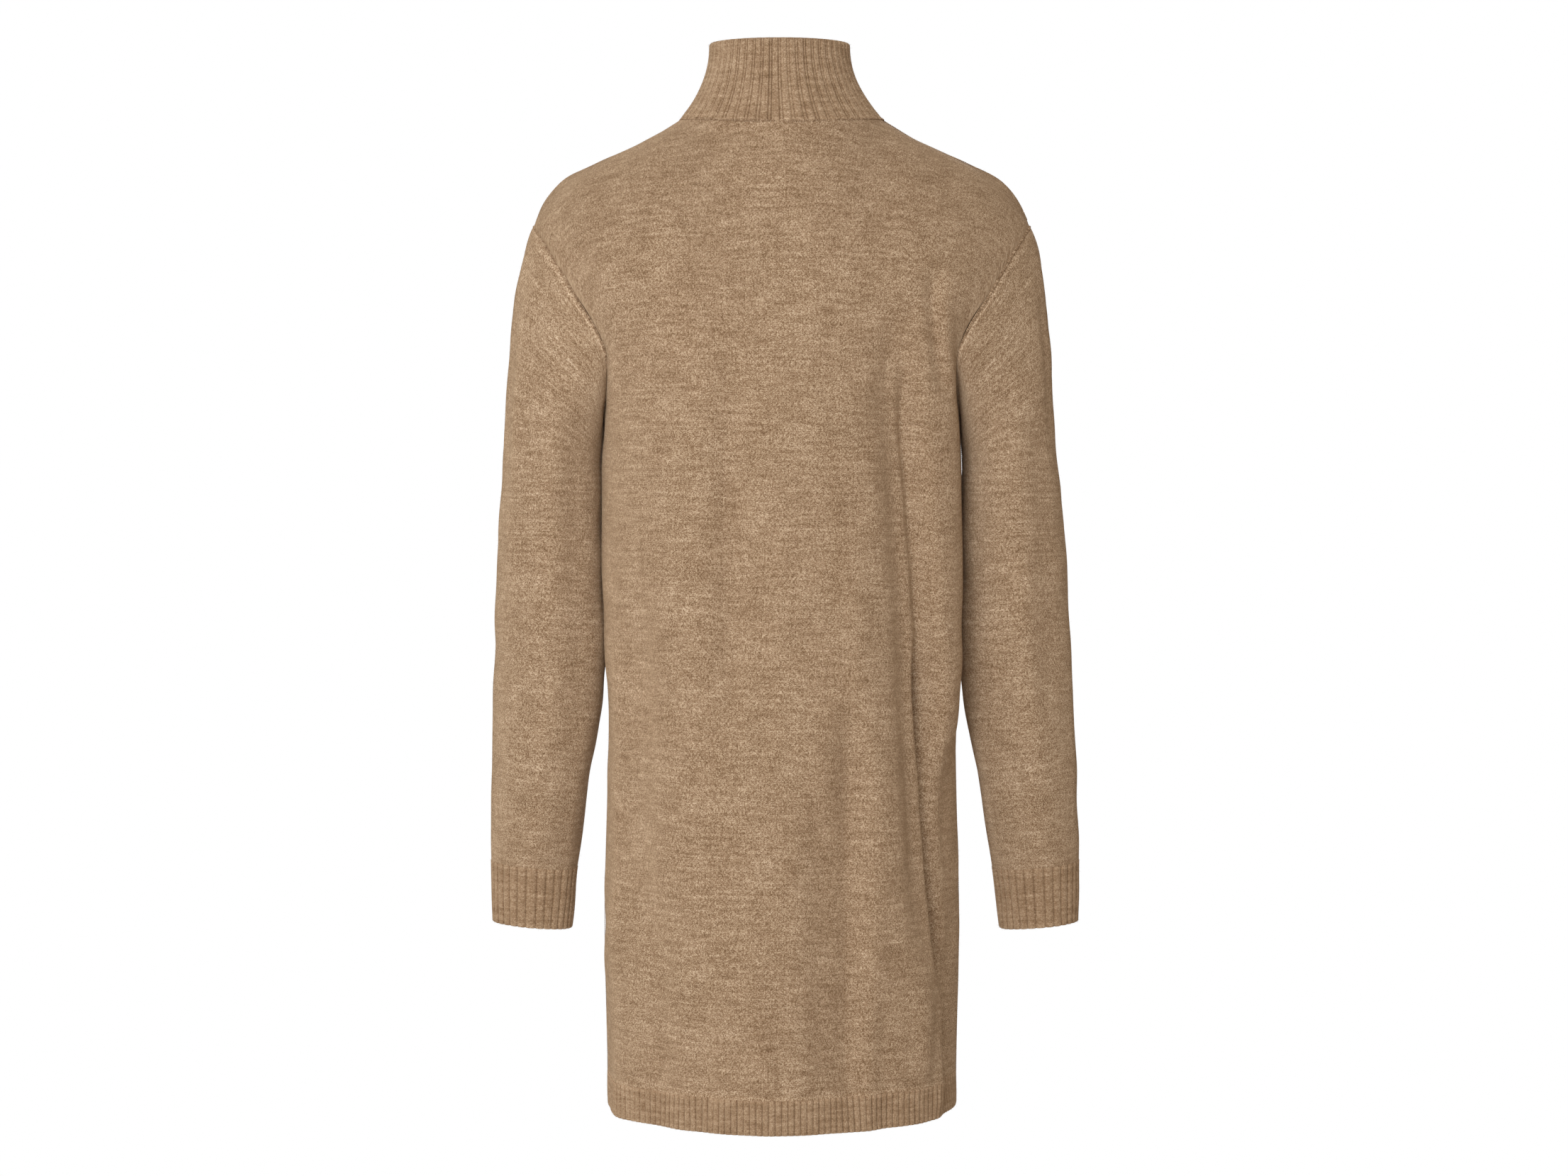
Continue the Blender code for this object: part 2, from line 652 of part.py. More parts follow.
def wall(name, skins, around, colour, collection):
    """One piece of the dress: a closed wall between an outer and an inner skin."""
    outer, inner = skins
    shapes = outer.shape[:2], inner.shape[:2]
    points = np.concatenate((outer.reshape(-1, 3), inner.reshape(-1, 3)))
    faces = skin_faces(0, shapes[0], around)
    faces += skin_faces(shapes[0][0] * shapes[0][1], shapes[1], around)
    faces += edge_faces(*shapes, around)
    mesh = bpy.data.meshes.new(name)
    mesh.from_pydata(points.tolist(), [], faces)
    shaped = bmesh.new()
    shaped.from_mesh(mesh)
    bmesh.ops.recalc_face_normals(shaped, faces=shaped.faces)
    if shaped.calc_volume(signed=True) < 0:
        bmesh.ops.reverse_faces(shaped, faces=shaped.faces)
    shaped.to_mesh(mesh)
    shaped.free()
    mesh.shade_smooth()
    mesh.set_sharp_from_angle(angle=SMOOTH_ANGLE)
    mesh.materials.append(material(name, colour))
    collection.objects.link(bpy.data.objects.new(name, mesh))


def main():
    for item in list(bpy.data.objects):
        bpy.data.objects.remove(item)
    dress = bpy.data.collections.new("sweater_dress")
    bpy.context.scene.collection.children.link(dress)
    wall("back_panel", cloth_panel(1), False, KNIT_COLOUR, dress)
    wall("front_panel", cloth_panel(-1), False, KNIT_COLOUR, dress)
    wall("hem_rib_back", hem_rib(1), False, RIB_COLOUR, dress)
    wall("hem_rib_front", hem_rib(-1), False, RIB_COLOUR, dress)
    for name, side in (("left", 1), ("right", -1)):
        wall(f"{name}_sleeve", cloth_sleeve(side), True, KNIT_COLOUR, dress)
        wall(f"{name}_cuff", cuff(side), True, RIB_COLOUR, dress)
    wall("collar", collar(), True, RIB_COLOUR, dress)


main()
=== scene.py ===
"""The looks of a sweater dress: brushed camel knit, soft ribs, linked seams and a light nap.

The dress keeps the hollow form of a general figure, with the sleeves hanging at its sides.
Lengths are in metres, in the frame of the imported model: the origin is the middle of the
neck, +Z is up, -Y the wearer's front and +X the wearer's left. Each knitted piece is a
closed wall on the form of the solid that it replaces, and carries the cloth's own
coordinates, in metres along its wales and courses, as the UV map "cloth".
"""

from math import cos, pi, radians, sin

import bmesh
import bpy
import numpy as np
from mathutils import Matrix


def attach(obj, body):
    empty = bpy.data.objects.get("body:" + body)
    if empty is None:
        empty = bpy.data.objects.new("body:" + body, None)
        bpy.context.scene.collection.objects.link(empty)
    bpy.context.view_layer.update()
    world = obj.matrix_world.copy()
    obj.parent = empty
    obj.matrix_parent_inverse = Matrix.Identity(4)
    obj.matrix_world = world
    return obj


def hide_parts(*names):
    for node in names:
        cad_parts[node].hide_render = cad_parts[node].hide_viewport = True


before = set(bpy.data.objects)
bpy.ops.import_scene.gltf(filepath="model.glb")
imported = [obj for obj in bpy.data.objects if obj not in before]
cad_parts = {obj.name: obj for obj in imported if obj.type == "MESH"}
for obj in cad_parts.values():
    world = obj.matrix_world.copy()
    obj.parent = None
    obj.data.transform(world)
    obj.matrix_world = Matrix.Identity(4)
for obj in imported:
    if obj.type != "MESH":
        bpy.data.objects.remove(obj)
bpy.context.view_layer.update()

# Camera: level with the underarms, behind the dress, dipped a little
CAMERA_PLACE = (-0.0019, 2.8, -0.2359)
CAMERA_DIP = 3.504  # degrees under the level
FOCAL_PIXELS = 4516
IMAGE_WIDTH = 2212  # pixels
SENSOR_WIDTH = 36.0  # millimetres

# Cloth
KNIT_WALL = 0.0024
RIB_WALL = 0.0021  # under the grooves of a ribbed band
COLLAR_WALL = 0.0030  # the collar is knitted double
RIB_RELIEF = 0.0012  # a rib above its groove
RIB_SINK = 0.0009  # a groove under the face of the plain knit
EDGE_ROUNDING = 0.0012  # radius of a band's free edges
RIM_ROUNDING = 0.0028  # and of the collar's outer edge, where it is folded over
SEAM_DIP = 0.0006  # how far the cloth rolls in at a linked seam
TOP_DIP = 0.0003  # the same at the shoulders and round the neck
SEAM_ROLL = 0.0026  # and how wide that roll is
LOOP_PITCH = 0.0019  # from one linked loop to the next
LOOPS_SUNK = 0.0007  # how deep the loops lie in a seam's dip
TOP_SUNK = 0.0011  # and how much deeper still over the shoulder's end
LINKED_COURSE = 0.0026  # length of a piece's first course, which is linked on
LINKED_SLEEVE = 0.0062  # the same on a sleeve, where it is chunkier
WALE = 0.0020  # width of one column of stitches
COURSE = 0.0016  # height of one row of stitches
LEG_FALL = 0.55  # share of a course by which a stitch's legs fall to its middle
PURL_BEND = 0.28  # share of a course by which a stitch bends on the inside
EDGE_SHARE = 0.92  # how much of a full quarter circle a rounded edge takes
SHARP_ANGLE = 62  # degrees between two faces, over which the edge between them stays sharp
SEAM_BLEND = 0.006  # over this distance the wall turns to lie square to its seam
FOOT_BLEND = 0.004  # the same at the collar's foot
HEM_SIDE_DIP = 0.5  # share of a seam's dip that the hem's band has at its sides
COLLAR_EVENNESS = 0.6  # share of the cloth's slow waves that the collar keeps

# Heights, from the neck points
UNDERARM = -0.262
HEM_RIB_TOP = -0.832
HEM = -0.862
SLEEVE_HANGS_FREE = -0.305  # under this the sleeve is a plain tube
CUFF_TOP = -0.655
CUFF_END = -0.710
FLOOR = -1.46  # where the wearer's feet would stand
FLOOR_RADIUS = 2.0
FLOOR_CORNERS = 96
FLOOR_COLOUR = (0.93, 0.93, 0.925, 1.0)
FLOOR_ROUGHNESS = 0.9
DRESS_MIDDLE = -0.45

# Lamps: degrees from behind the dress towards its left, degrees over the level, and watts
SOFT_BOXES = (
    ("key", 7, 25, 40.5),
    ("side", 28, 0, 16),
    ("edge", 80, 2, 6.5),
    ("front", 190, 20, 31),
)
SOFT_BOX_SIZE = 1.2
SOFT_BOX_DISTANCE = 2.6
LAMP_COLOUR = (1.0, 1.045, 1.115)
SURROUND_COLOUR = (1.0, 0.81, 0.63, 1.0)  # warm, so that shadows are warm too
SURROUND_STRENGTH = 0.30

# The torso up to the underarms, as level rounded ovals
# Roundness 1 is an ellipse, and less is squarer
TORSO_COLUMNS = ("height", "half_width", "back", "front", "roundness")
TORSO = (
    (-0.870, 0.1535, 0.1370, 0.1120, 1.00),
    (-0.820, 0.1540, 0.1360, 0.1125, 0.99),
    (-0.700, 0.1560, 0.1320, 0.1130, 0.95),
    (-0.577, 0.1530, 0.1270, 0.1110, 0.90),
    (-0.515, 0.1518, 0.1232, 0.1092, 0.87),
    (-0.450, 0.1555, 0.1200, 0.1095, 0.87),
    (-0.370, 0.1578, 0.1175, 0.1110, 0.87),
    (-0.300, 0.1575, 0.1170, 0.1130, 0.87),
    (UNDERARM, 0.1550, 0.1170, 0.1140, 0.87),
)

# The neck line, where the collar is linked on, and the collar's rim. 1 is behind, -1 in front
NECK_HALF_WIDTH = 0.088
NECK_DEPTH = {1: 0.072, -1: 0.084}
NECK_DROP = {1: 0.0065, -1: 0.042}
NECK_LEAN = (0.45, 1.1)  # upward part of the cloth's face there, in the middle and at the side
RIM_HALF_WIDTH = 0.0605
RIM_SHIFT = 0.002  # the rim stands a little towards the wearer's left
RIM_DEPTH = {1: 0.054, -1: 0.066}
RIM_HEIGHT = 0.0655
RIM_DROP = {1: 0.0, -1: 0.020}
COLLAR_FLARE = 2.15  # power of the flare from rim to foot

# The shoulder seam, from the neck point to the top of the sleeve
SHOULDER = (
    (NECK_HALF_WIDTH, 0.0, 0.0),
    (0.1200, 0.0, -0.0190),
    (0.1620, 0.0, -0.0375),
    (0.1930, 0.0, -0.0545),
    (0.2075, 0.0, -0.0730),
    (0.2155, 0.0, -0.0900),
)

# The armhole seam, from the underarm to the top of the sleeve: out, behind, height
ARMHOLE = (
    (0.1550, 0.000, UNDERARM),
    (0.1545, 0.018, -0.2560),
    (0.1520, 0.036, -0.2440),
    (0.1495, 0.055, -0.2240),
    (0.1500, 0.068, -0.2020),
    (0.1590, 0.070, -0.1800),
    (0.1735, 0.066, -0.1570),
    (0.1900, 0.054, -0.1290),
    (0.2060, 0.034, -0.1040),
    (0.2140, 0.014, -0.0925),
    (0.2155, 0.000, -0.0900),
)
ARMHOLE_PULL = 1.7  # power with which the yoke is drawn towards the armholes
UNDERARM_PULL = 3.5  # added to it at the underarm, where only the edge is drawn in
UNDERARM_REACH = 0.45  # share of the armhole over which that dies away
ARMHOLE_PACE = 0.72  # power by which the yoke's rows climb it, quickest at the underarm
SLEEVE_SIDE = (0.934, 0.0, -0.357)  # square to the armhole, towards the sleeve
SLEEVE_SETS_OFF = (0.30, 0.0, -0.95)  # the sleeve's course at the underarm
UNDERARM_TURN = (0.28, 0.62)  # shares of the armhole between which it takes up that course
SHOULDER_TURN = 0.20  # share of it over which the sleeve comes in line with the shoulder seam
SEAM_SPREAD = 1.2  # how far the two walls stand apart inside the underarm

# The sleeve where it hangs free, as rings
SLEEVE_COLUMNS = ("height", "outer", "inner", "middle", "half_depth")
SLEEVE = (
    (SLEEVE_HANGS_FREE, 0.2440, 0.1585, -0.011, 0.060),
    (-0.390, 0.2510, 0.1575, -0.019, 0.057),
    (-0.460, 0.2542, 0.1550, -0.023, 0.053),
    (-0.500, 0.2562, 0.1590, -0.025, 0.049),
    (-0.577, 0.2596, 0.1732, -0.029, 0.042),
    (CUFF_TOP, 0.2618, 0.1845, -0.034, 0.033),
    (CUFF_END, 0.2612, 0.1914, -0.036, 0.025),
)
ARM_SWING = 0.011  # both sleeves lean this much per metre towards the wearer's right
ARM_SWING_LEVEL = -0.400
SLEEVE_PULL = {"armhole": 0.7, "free": 1.0}  # how far the sleeve keeps its course at each end
SLEEVE_ROUNDNESS = 0.92
CUFF_TILT = 0.09  # rise per metre outwards, square to the hanging arm

# Soft folds. A place across is a length of cloth from the middle, the left being positive
FOLD_COLUMNS = ("top_across", "top", "end_across", "end", "half_width", "depth")
FOLDS = {
    1: (
        (-0.092, -0.150, -0.136, -0.760, 0.016, -0.0120),
        (-0.150, -0.120, -0.168, -0.600, 0.026, 0.0110),
        (-0.140, -0.125, -0.150, -0.250, 0.010, -0.0060),
        (-0.168, -0.500, -0.174, -0.860, 0.024, -0.0070),
        (0.042, -0.170, 0.040, -0.520, 0.020, -0.0050),
        (0.090, -0.230, 0.094, -0.520, 0.024, 0.0040),
        (-0.036, -0.540, -0.044, -0.990, 0.019, -0.0095),
        (0.148, -0.400, 0.152, -0.700, 0.018, -0.0055),
        (0.156, -0.640, 0.158, -0.990, 0.020, 0.0065),
        (-0.130, -0.700, -0.134, -0.990, 0.014, 0.0055),
    ),
    -1: (
        (0.094, -0.160, 0.128, -0.720, 0.017, -0.0105),
        (0.146, -0.140, 0.160, -0.600, 0.024, 0.0080),
        (0.164, -0.520, 0.170, -0.860, 0.024, -0.0060),
        (-0.088, -0.190, -0.112, -0.620, 0.019, -0.0070),
        (-0.030, -0.420, -0.020, -0.990, 0.020, -0.0095),
        (0.050, -0.520, 0.062, -0.990, 0.022, 0.0050),
        (-0.140, -0.600, -0.142, -0.990, 0.018, 0.0055),
    ),
}
# Smaller creases that the solids leave out, as folds
CREASES = {
    1: (
        (-0.109, -0.180, -0.146, -0.580, 0.0080, -0.0140),
        (-0.131, -0.430, -0.166, -0.780, 0.0090, -0.0145),
        (-0.059, -0.470, -0.062, -0.885, 0.0140, -0.0125),
        (-0.092, -0.640, -0.092, -0.885, 0.0180, -0.0030),
        (-0.043, -0.800, -0.045, -0.990, 0.0190, 0.0055),
        (-0.133, -0.800, -0.134, -0.990, 0.0140, -0.0035),
        (-0.172, -0.700, -0.174, -0.885, 0.0120, -0.0025),
        (-0.166, -0.690, -0.148, -0.885, 0.0110, 0.0050),
        (0.046, -0.180, 0.042, -0.540, 0.0120, -0.0045),
        (0.126, -0.380, 0.128, -0.720, 0.0160, -0.0055),
        (0.162, -0.420, 0.162, -0.760, 0.0160, 0.0035),
        (0.126, -0.190, 0.078, -0.350, 0.0120, -0.0022),
        (-0.112, -0.160, -0.066, -0.300, 0.0110, -0.0018),
        (0.002, -0.040, 0.006, -0.190, 0.0260, -0.0016),
        (-0.060, -0.330, -0.072, -0.600, 0.0130, 0.0022),
        (0.014, -0.330, 0.018, -0.560, 0.0110, -0.0018),
        (0.112, -0.640, 0.106, -0.900, 0.0150, -0.0030),
        (0.062, -0.700, 0.066, -0.885, 0.0120, -0.0026),
        (0.020, -0.680, 0.014, -0.885, 0.0110, 0.0022),
        (-0.088, -0.740, -0.092, -0.885, 0.0110, -0.0028),
    ),
    -1: (
        (0.112, -0.200, 0.136, -0.740, 0.0110, -0.0075),
        (-0.150, -0.400, -0.154, -0.700, 0.0130, -0.0045),
        (0.168, -0.680, 0.172, -0.885, 0.0120, -0.0045),
        (-0.124, -0.190, -0.072, -0.360, 0.0120, -0.0022),
        (0.118, -0.170, 0.066, -0.310, 0.0110, -0.0018),
        (-0.010, -0.110, -0.004, -0.260, 0.0240, -0.0018),
        (-0.040, -0.460, -0.034, -0.885, 0.0130, -0.0060),
        (0.030, -0.300, 0.040, -0.560, 0.0130, -0.0022),
        (-0.070, -0.560, -0.074, -0.885, 0.0140, 0.0026),
        (0.100, -0.700, 0.098, -0.885, 0.0110, -0.0028),
        (0.010, -0.720, 0.012, -0.885, 0.0100, 0.0022),
    ),
}
# On the sleeves a place across is a share of the way round, from the outer side over the back
SLEEVE_FOLDS = {
    1: (
        (0.140, -0.130, 0.150, -0.420, 0.040, 0.0022),
        (0.350, -0.200, 0.330, -0.560, 0.050, -0.0030),
        (0.500, -0.190, 0.500, -0.360, 0.110, 0.0018),
        (0.640, -0.260, 0.700, -0.560, 0.045, -0.0035),
        (0.880, -0.200, 0.860, -0.520, 0.045, 0.0025),
    ),
    -1: (
        (0.000, -0.095, 0.000, -0.330, 0.140, -0.0018),
        (0.300, -0.220, 0.320, -0.520, 0.055, 0.0030),
        (0.170, -0.230, 0.160, -0.540, 0.045, -0.0030),
        (0.500, -0.190, 0.500, -0.290, 0.110, 0.0006),
        (0.690, -0.240, 0.720, -0.560, 0.045, -0.0035),
        (0.900, -0.260, 0.890, -0.560, 0.045, 0.0022),
    ),
}
SLEEVE_CREASES = {
    1: (
        (0.090, -0.160, 0.100, -0.360, 0.022, -0.0012),
        (0.240, -0.230, 0.225, -0.430, 0.024, -0.0010),
        (0.290, -0.420, 0.210, -0.560, 0.024, -0.0013),
        (0.120, -0.470, 0.180, -0.640, 0.026, 0.0012),
        (0.380, -0.500, 0.400, -0.720, 0.024, 0.0010),
        (0.395, -0.250, 0.400, -0.660, 0.055, 0.0025),
        (0.560, -0.300, 0.520, -0.520, 0.026, -0.0014),
        (0.770, -0.360, 0.800, -0.640, 0.030, -0.0015),
        (0.990, -0.540, 0.970, -0.740, 0.024, -0.0010),
    ),
    -1: (
        (0.110, -0.150, 0.090, -0.300, 0.022, -0.0012),
        (0.240, -0.340, 0.210, -0.600, 0.024, 0.0012),
        (0.370, -0.300, 0.400, -0.560, 0.026, -0.0006),
        (0.400, -0.250, 0.400, -0.660, 0.055, 0.0035),
        (0.300, -0.520, 0.270, -0.720, 0.022, -0.0012),
        (0.060, -0.420, 0.080, -0.640, 0.026, 0.0011),
        (0.580, -0.340, 0.600, -0.640, 0.026, -0.0014),
        (0.800, -0.300, 0.780, -0.560, 0.030, -0.0014),
        (0.880, -0.560, 0.900, -0.740, 0.024, 0.0011),
    ),
}
FOLD_FADE = 0.22  # share of a fold's length over which each end dies away
SEAM_CALM = 0.12  # share of a panel over which its folds die away towards a seam
EASING_ROUNDS = 160  # the cloth eases itself over the yoke's turns this many times
EASED_ACROSS = 0.22  # share of the bend that it loses each time, across and up
EASED_UP = 0.07
EASED_FROM = (0.55, 0.90)  # shares of the height to the underarm between which that begins
# Slow waves that keep the cloth from lying perfectly smooth: wavelength and height
UNEVENNESS = ((0.071, 0.00018), (0.047, 0.00017), (0.033, 0.00015), (0.022, 0.00010))

# Grids
PANEL_COLUMNS = 196
NECK_SHARE = 3 / 7  # share of a panel's half width that ends at the neck line
SKIRT_ROWS = 168
YOKE_ROWS = 84
EASING_ROWS = 80  # from the hem to the underarm, and again from there up
SLEEVE_RING = 120
FAN_ROWS = 72
TUBE_ROWS = 108
CUFF_ROWS = 22
HEM_ROWS = 12
COLLAR_ROWS = 30
COLLAR_RIBS = 52
HEM_RIBS = 84  # on each panel
CUFF_RIBS = 30
EDGE_STEPS = np.array((0.0, 0.0005, 0.0011, 0.0019))  # closer lines beside a seam
BAND_STEPS = np.array((0.0, 0.10, 0.35, 0.75, 1.3))  # and at a band's free edge, in its radii
RIM_STEPS = np.array((0.80, 0.50, 0.25, 0.08, 0.0))  # and under the collar's rim, in its radii
SLEEVE_STEPS = (0.0, 0.004, 0.009, 0.016)  # the sleeve's first rows
SLEEVE_LAST_ROW = 1.995  # and its last but one
HEM_EVEN_FROM = 0.09  # share of the hem's band over which its rows are even
CUFF_EVEN_TO = 0.004  # distance from the cuff's end down to which its rows are even
COLLAR_EVEN_TO = 0.95  # share of the collar's height under the rows of its rim
COLLAR_CLOSING = 1.15  # power by which those rows close up towards the foot
SEAM_POINTS = 200  # along a linked seam
COLLAR_SEAM_POINTS = 400

HEM_SHARE = (HEM_RIB_TOP - HEM) / (UNDERARM - HEM)
SMALL_STEP = 1e-4
CURVE_SAMPLES = 400
LEVEL = np.array((1.0, 1.0, 0.0))
UPWARDS = np.array((0.0, 0.0, 1.0))

# Ribs: points across one rib, and how deep its grooves are cut. The collar has two narrow
# grooves beside each line between two ribs, with a thin rib between them
RIB_POINTS = 8
COLLAR_RIB_POINTS = 14
RIB_WALES = 3
COLLAR_RIB_WALES = 4
GROOVE_WIDTH = 0.11  # share of a rib
TWIN_GROOVE_APART = 0.145  # how far each of the two lies from that line
TWIN_GROOVE_WIDTH = 0.065
TWIN_DEPTH = 0.95
GROOVE_STRENGTH = (0.86, 0.14)  # how deep grooves are, as a share: their mean and spread
GROOVE_LEAST = 0.45
GROOVE_SHADE = 0.30  # painted shade: share of its light that the yarn's colour loses deep in a groove
TWIN_GROOVE_SHADE = 0.50  # the same in the collar's grooves
SHADE_REACH = 1.7  # how far that shade reaches, in widths of the groove
SHADE_LEAST = 0.5  # share of it that the lightest groove has
RIB_CROWN = 0.12  # extra height in the middle of a rib, as a share of its relief

# Yarn, as linear colours
YARN_SHADE = (0.150, 0.081, 0.037, 1.0)
YARN_BODY = (0.320, 0.203, 0.114, 1.0)
YARN_LIGHT = (0.600, 0.443, 0.290, 1.0)
LINKING_YARN = (0.360, 0.236, 0.138, 1.0)
SHEEN_TINT = (0.80, 0.575, 0.365, 1.0)
SHADE_POWERS = (1.0, 1.2, 1.45)  # shaded yarn keeps more red than green, and more green than blue
FIRST_COURSE_LIGHT = 0.02  # how much lighter the first course is
FIRST_COURSE_ENDS = (0.75, 1.15)  # shares of its length between which it gives way to the knit
LOOP_SLANT = 0.45  # a linked loop leans this much aside for its length
SEAM_SHADE_ENDS = (0.0004, 0.0013)  # distances from a seam between which its painted shade dies away
# How much lighter or darker each knit is. The sleeves' 1.05 is painted light, making up for the
# shade that the body casts on their inner sides
TONES_AND_PAINTED_LIGHT = {"sleeve": 1.05, "rib": 1.03, "rib_inside": 0.97, "collar": 1.10}
CONTRASTS = {"rib": 0.50, "collar": 0.66}  # share of the flecks that brushed ribs keep
# Painted shade in the dip beside the armhole seam: share of its colour that a sleeve keeps there
SLEEVE_SEAM_SHADE = 0.75

# Flecks: features a metre, detail, roughness and how much finer across and along. The tone
# of a leg and the flecks are mixed by these shares
FLECKS = (1000, 2.0, 0.62, (0.65, 1.4))
LEG_SHARE = 0.34
FLECK_SHARE = 0.82
FLECK_BASE = 0.07
MEAN_MIX = 0.60
# Slower tones over the cloth, given as flecks are, with their darkest and lightest
SLOW_TONES = (
    ((30, 3.0, 0.62), 0.91, 1.09),
    ((150, 2.0, 0.6), 0.93, 1.07),
    ((34, 2.0, 0.6, (1.0, 9.0)), 0.84, 1.16),
)
NOISE_RANGE = (0.28, 0.72)  # most noise lies between these
GAP_SHADE = 0.24  # painted shade: share of its light that the yarn's colour loses between the stitches

# Linked rows: half length, half width and half height of a loop's two grains
LOOP = (0.00125, 0.00052, 0.00042)
ARMHOLE_LOOP = (0.00125, 0.00062, 0.00042)
SIDE_LOOP = (0.0010, 0.0004, 0.0003)
COLLAR_LOOP = (0.00110, 0.00058, 0.00040)
GRAIN_PITCH = 0.0017  # from one pair of grains to the next, where a seam has none of its own
GRAIN_SLANT = 0.62  # how far a grain leans aside for its length
GRAIN_SPREAD = 0.00055  # how far it lies from the row's middle
GRAIN_LIFT = 0.4  # share of its half height by which it stands up
ARMHOLE_ASIDE = 0.0007  # how far the armhole's row lies towards the sleeve
TOP_REACH = 0.03  # distance from the shoulder's end over which the row lies deeper
SHOULDER_SHORT = 6  # points by which the shoulder's row stops before the armhole's

# Nap: fibres on each piece, their length and thickness
FIBRES = {"panel": 9000, "sleeve": 5000, "collar": 3000, "cuff": 900, "hem": 1200}
FIBRE_LENGTH = (0.0012, 0.0036)
FIBRE_RADIUS = 0.000028
FIBRE_SUNK = 0.0002  # how deep its root is
FIBRE_RISE = 0.75  # how much it stands up for its drawn lean
FIBRE_LEAN = 0.8  # how much its second length follows that lean
FIBRE_BEND = 0.5  # and how much, at most, it rises or falls
FIBRE_ASIDE = 0.1  # how much its lean turns its three sides
FIBRE_TAPER = 0.7  # its thickness in the middle, as a share of that at the root

SEED = 20


# ---- shapes shared with the solids


def ease(share):
    """0 to 1 with level ends: 3 t^2 - 2 t^3."""
    share = np.clip(share, 0, 1)
    return share * share * (3 - 2 * share)


def bell(distance, width):
    """1 at no distance, dying away on both sides: e to the minus square of their ratio."""
    return np.exp(-((distance / width) ** 2))


def unit(vectors):
    """Vectors scaled to length 1."""
    return vectors / np.linalg.norm(vectors, axis=-1, keepdims=True)


def through(knots, values, at):
    """A smooth curve through a table: cubic pieces whose slopes come from the neighbours."""
    slopes = np.gradient(values, knots)
    piece = np.clip(np.searchsorted(knots, at) - 1, 0, len(knots) - 2)
    step = knots[piece + 1] - knots[piece]
    t = (at - knots[piece]) / step
    return (
        values[piece] * (1 + 2 * t) * (1 - t) ** 2
        + values[piece + 1] * (3 - 2 * t) * t**2
        + slopes[piece] * step * t * (1 - t) ** 2
        - slopes[piece + 1] * step * (1 - t) * t**2
    )


def from_table(table, names, name, height):
    """One named column of a table, read at a height."""
    rows = np.array(sorted(table))
    return through(rows[:, 0], rows[:, names.index(name)], height)


def along_curve(points, share):
    """Points at equal shares of the length of a smooth curve through a table's rows."""
    points = np.array(points)
    chords = np.linalg.norm(np.diff(points, axis=0), axis=1)
    knots = np.concatenate(([0.0], np.cumsum(chords))) / chords.sum()
    return np.stack([through(knots, axis, share) for axis in points.T], axis=-1)


def quarter(half_width, depth, roundness, share):
    """Points at equal lengths on a quarter of a rounded oval, x = a sin^r and y = b cos^r,
    from its middle to its side, and the quarter's length."""
    angle = np.linspace(0, pi / 2, CURVE_SAMPLES)
    out = half_width * np.sin(angle) ** roundness
    away = depth * np.cos(angle) ** roundness
    length = np.concatenate(([0.0], np.cumsum(np.hypot(np.diff(out), np.diff(away)))))
    wanted = share * length[-1]
    return np.interp(wanted, length, out), np.interp(wanted, length, away), length[-1]


def torso_ring(face, across, height):
    """The torso at one height: face is 1 behind and -1 in front, across runs from -1 to 1."""
    sizes = (
        from_table(TORSO, TORSO_COLUMNS, name, height)
        for name in ("half_width", "back" if face == 1 else "front", "roundness")
    )
    out, away, _ = quarter(*sizes, np.abs(across))
    return np.stack((np.sign(across) * out, face * away, np.full_like(out, height)), axis=-1)


def neck_line(face, share):
    """The edge that carries the collar, from the middle, share 0, to the neck point, share 1:
    part of an ellipse that dips in the middle by the square of the cosine."""
    angle = share * pi / 2
    away = face * NECK_DEPTH[face] * np.cos(angle)
    drop = NECK_DROP[face] * np.cos(angle) ** 2
    return np.stack((NECK_HALF_WIDTH * np.sin(angle), away, -drop), axis=-1)


def rim_line(face, share):
    """The collar's rim over the same share of the neck line."""
    angle = share * pi / 2
    away = face * RIM_DEPTH[face] * np.cos(angle)
    drop = RIM_DROP[face] * np.cos(angle) ** 2
    return np.stack((RIM_HALF_WIDTH * np.sin(angle), away, RIM_HEIGHT - drop), axis=-1)


def armhole(face, share):
    """The armhole seam from the underarm, share 0, up to the shoulder seam, share 1."""
    return along_curve(ARMHOLE, np.maximum(share, 0) ** ARMHOLE_PACE) * (1, face, 1)


def arch(face, size, up):
    """The yoke without its armholes: each column is part of an ellipse that rises from the
    ring at the underarms and ends at the neck line or, level over Y = 0, at the shoulder."""
    foot = torso_ring(face, size, UNDERARM)
    neck = neck_line(face, np.minimum(size / NECK_SHARE, 1))
    ridge = along_curve(SHOULDER, np.clip((size - NECK_SHARE) / (1 - NECK_SHARE), 0, 1))
    on_neck = size < NECK_SHARE
    top = np.where(on_neck[..., None], neck, ridge)
    lean = np.divide(top[..., 1], foot[..., 1], out=np.zeros_like(size), where=on_neck)
    end = np.arccos(np.clip(lean, 0, 1))
    turn = (1 - np.cos(up * end)) / (1 - np.cos(end))
    out = foot[..., 0] + (top[..., 0] - foot[..., 0]) * turn
    rise = (top[..., 2] - UNDERARM) * np.sin(up * end) / np.sin(end)
    return np.stack((out, foot[..., 1] * np.cos(up * end), UNDERARM + rise), axis=-1)


def yoke(face, across, up):
    """The panel over the underarms: the arch, drawn to the armhole seam at both sides."""
    size = np.abs(across)
    side = arch(face, np.ones_like(size), up)
    power = ARMHOLE_PULL + UNDERARM_PULL * np.clip(1 - up / UNDERARM_REACH, 0, 1) ** 2
    drawn = (size**power)[..., None] * (armhole(face, up) - side)
    point = arch(face, size, up) + drawn
    point[..., 0] *= np.sign(across)
    return point


def panel(face, across, up):
    """The back or front without its folds. up is 0 at the hem, 1 at the underarm and 2 at
    the top edge."""
    if up <= 1:
        return torso_ring(face, across, HEM + (UNDERARM - HEM) * up)
    return yoke(face, across, np.full_like(across, up - 1))


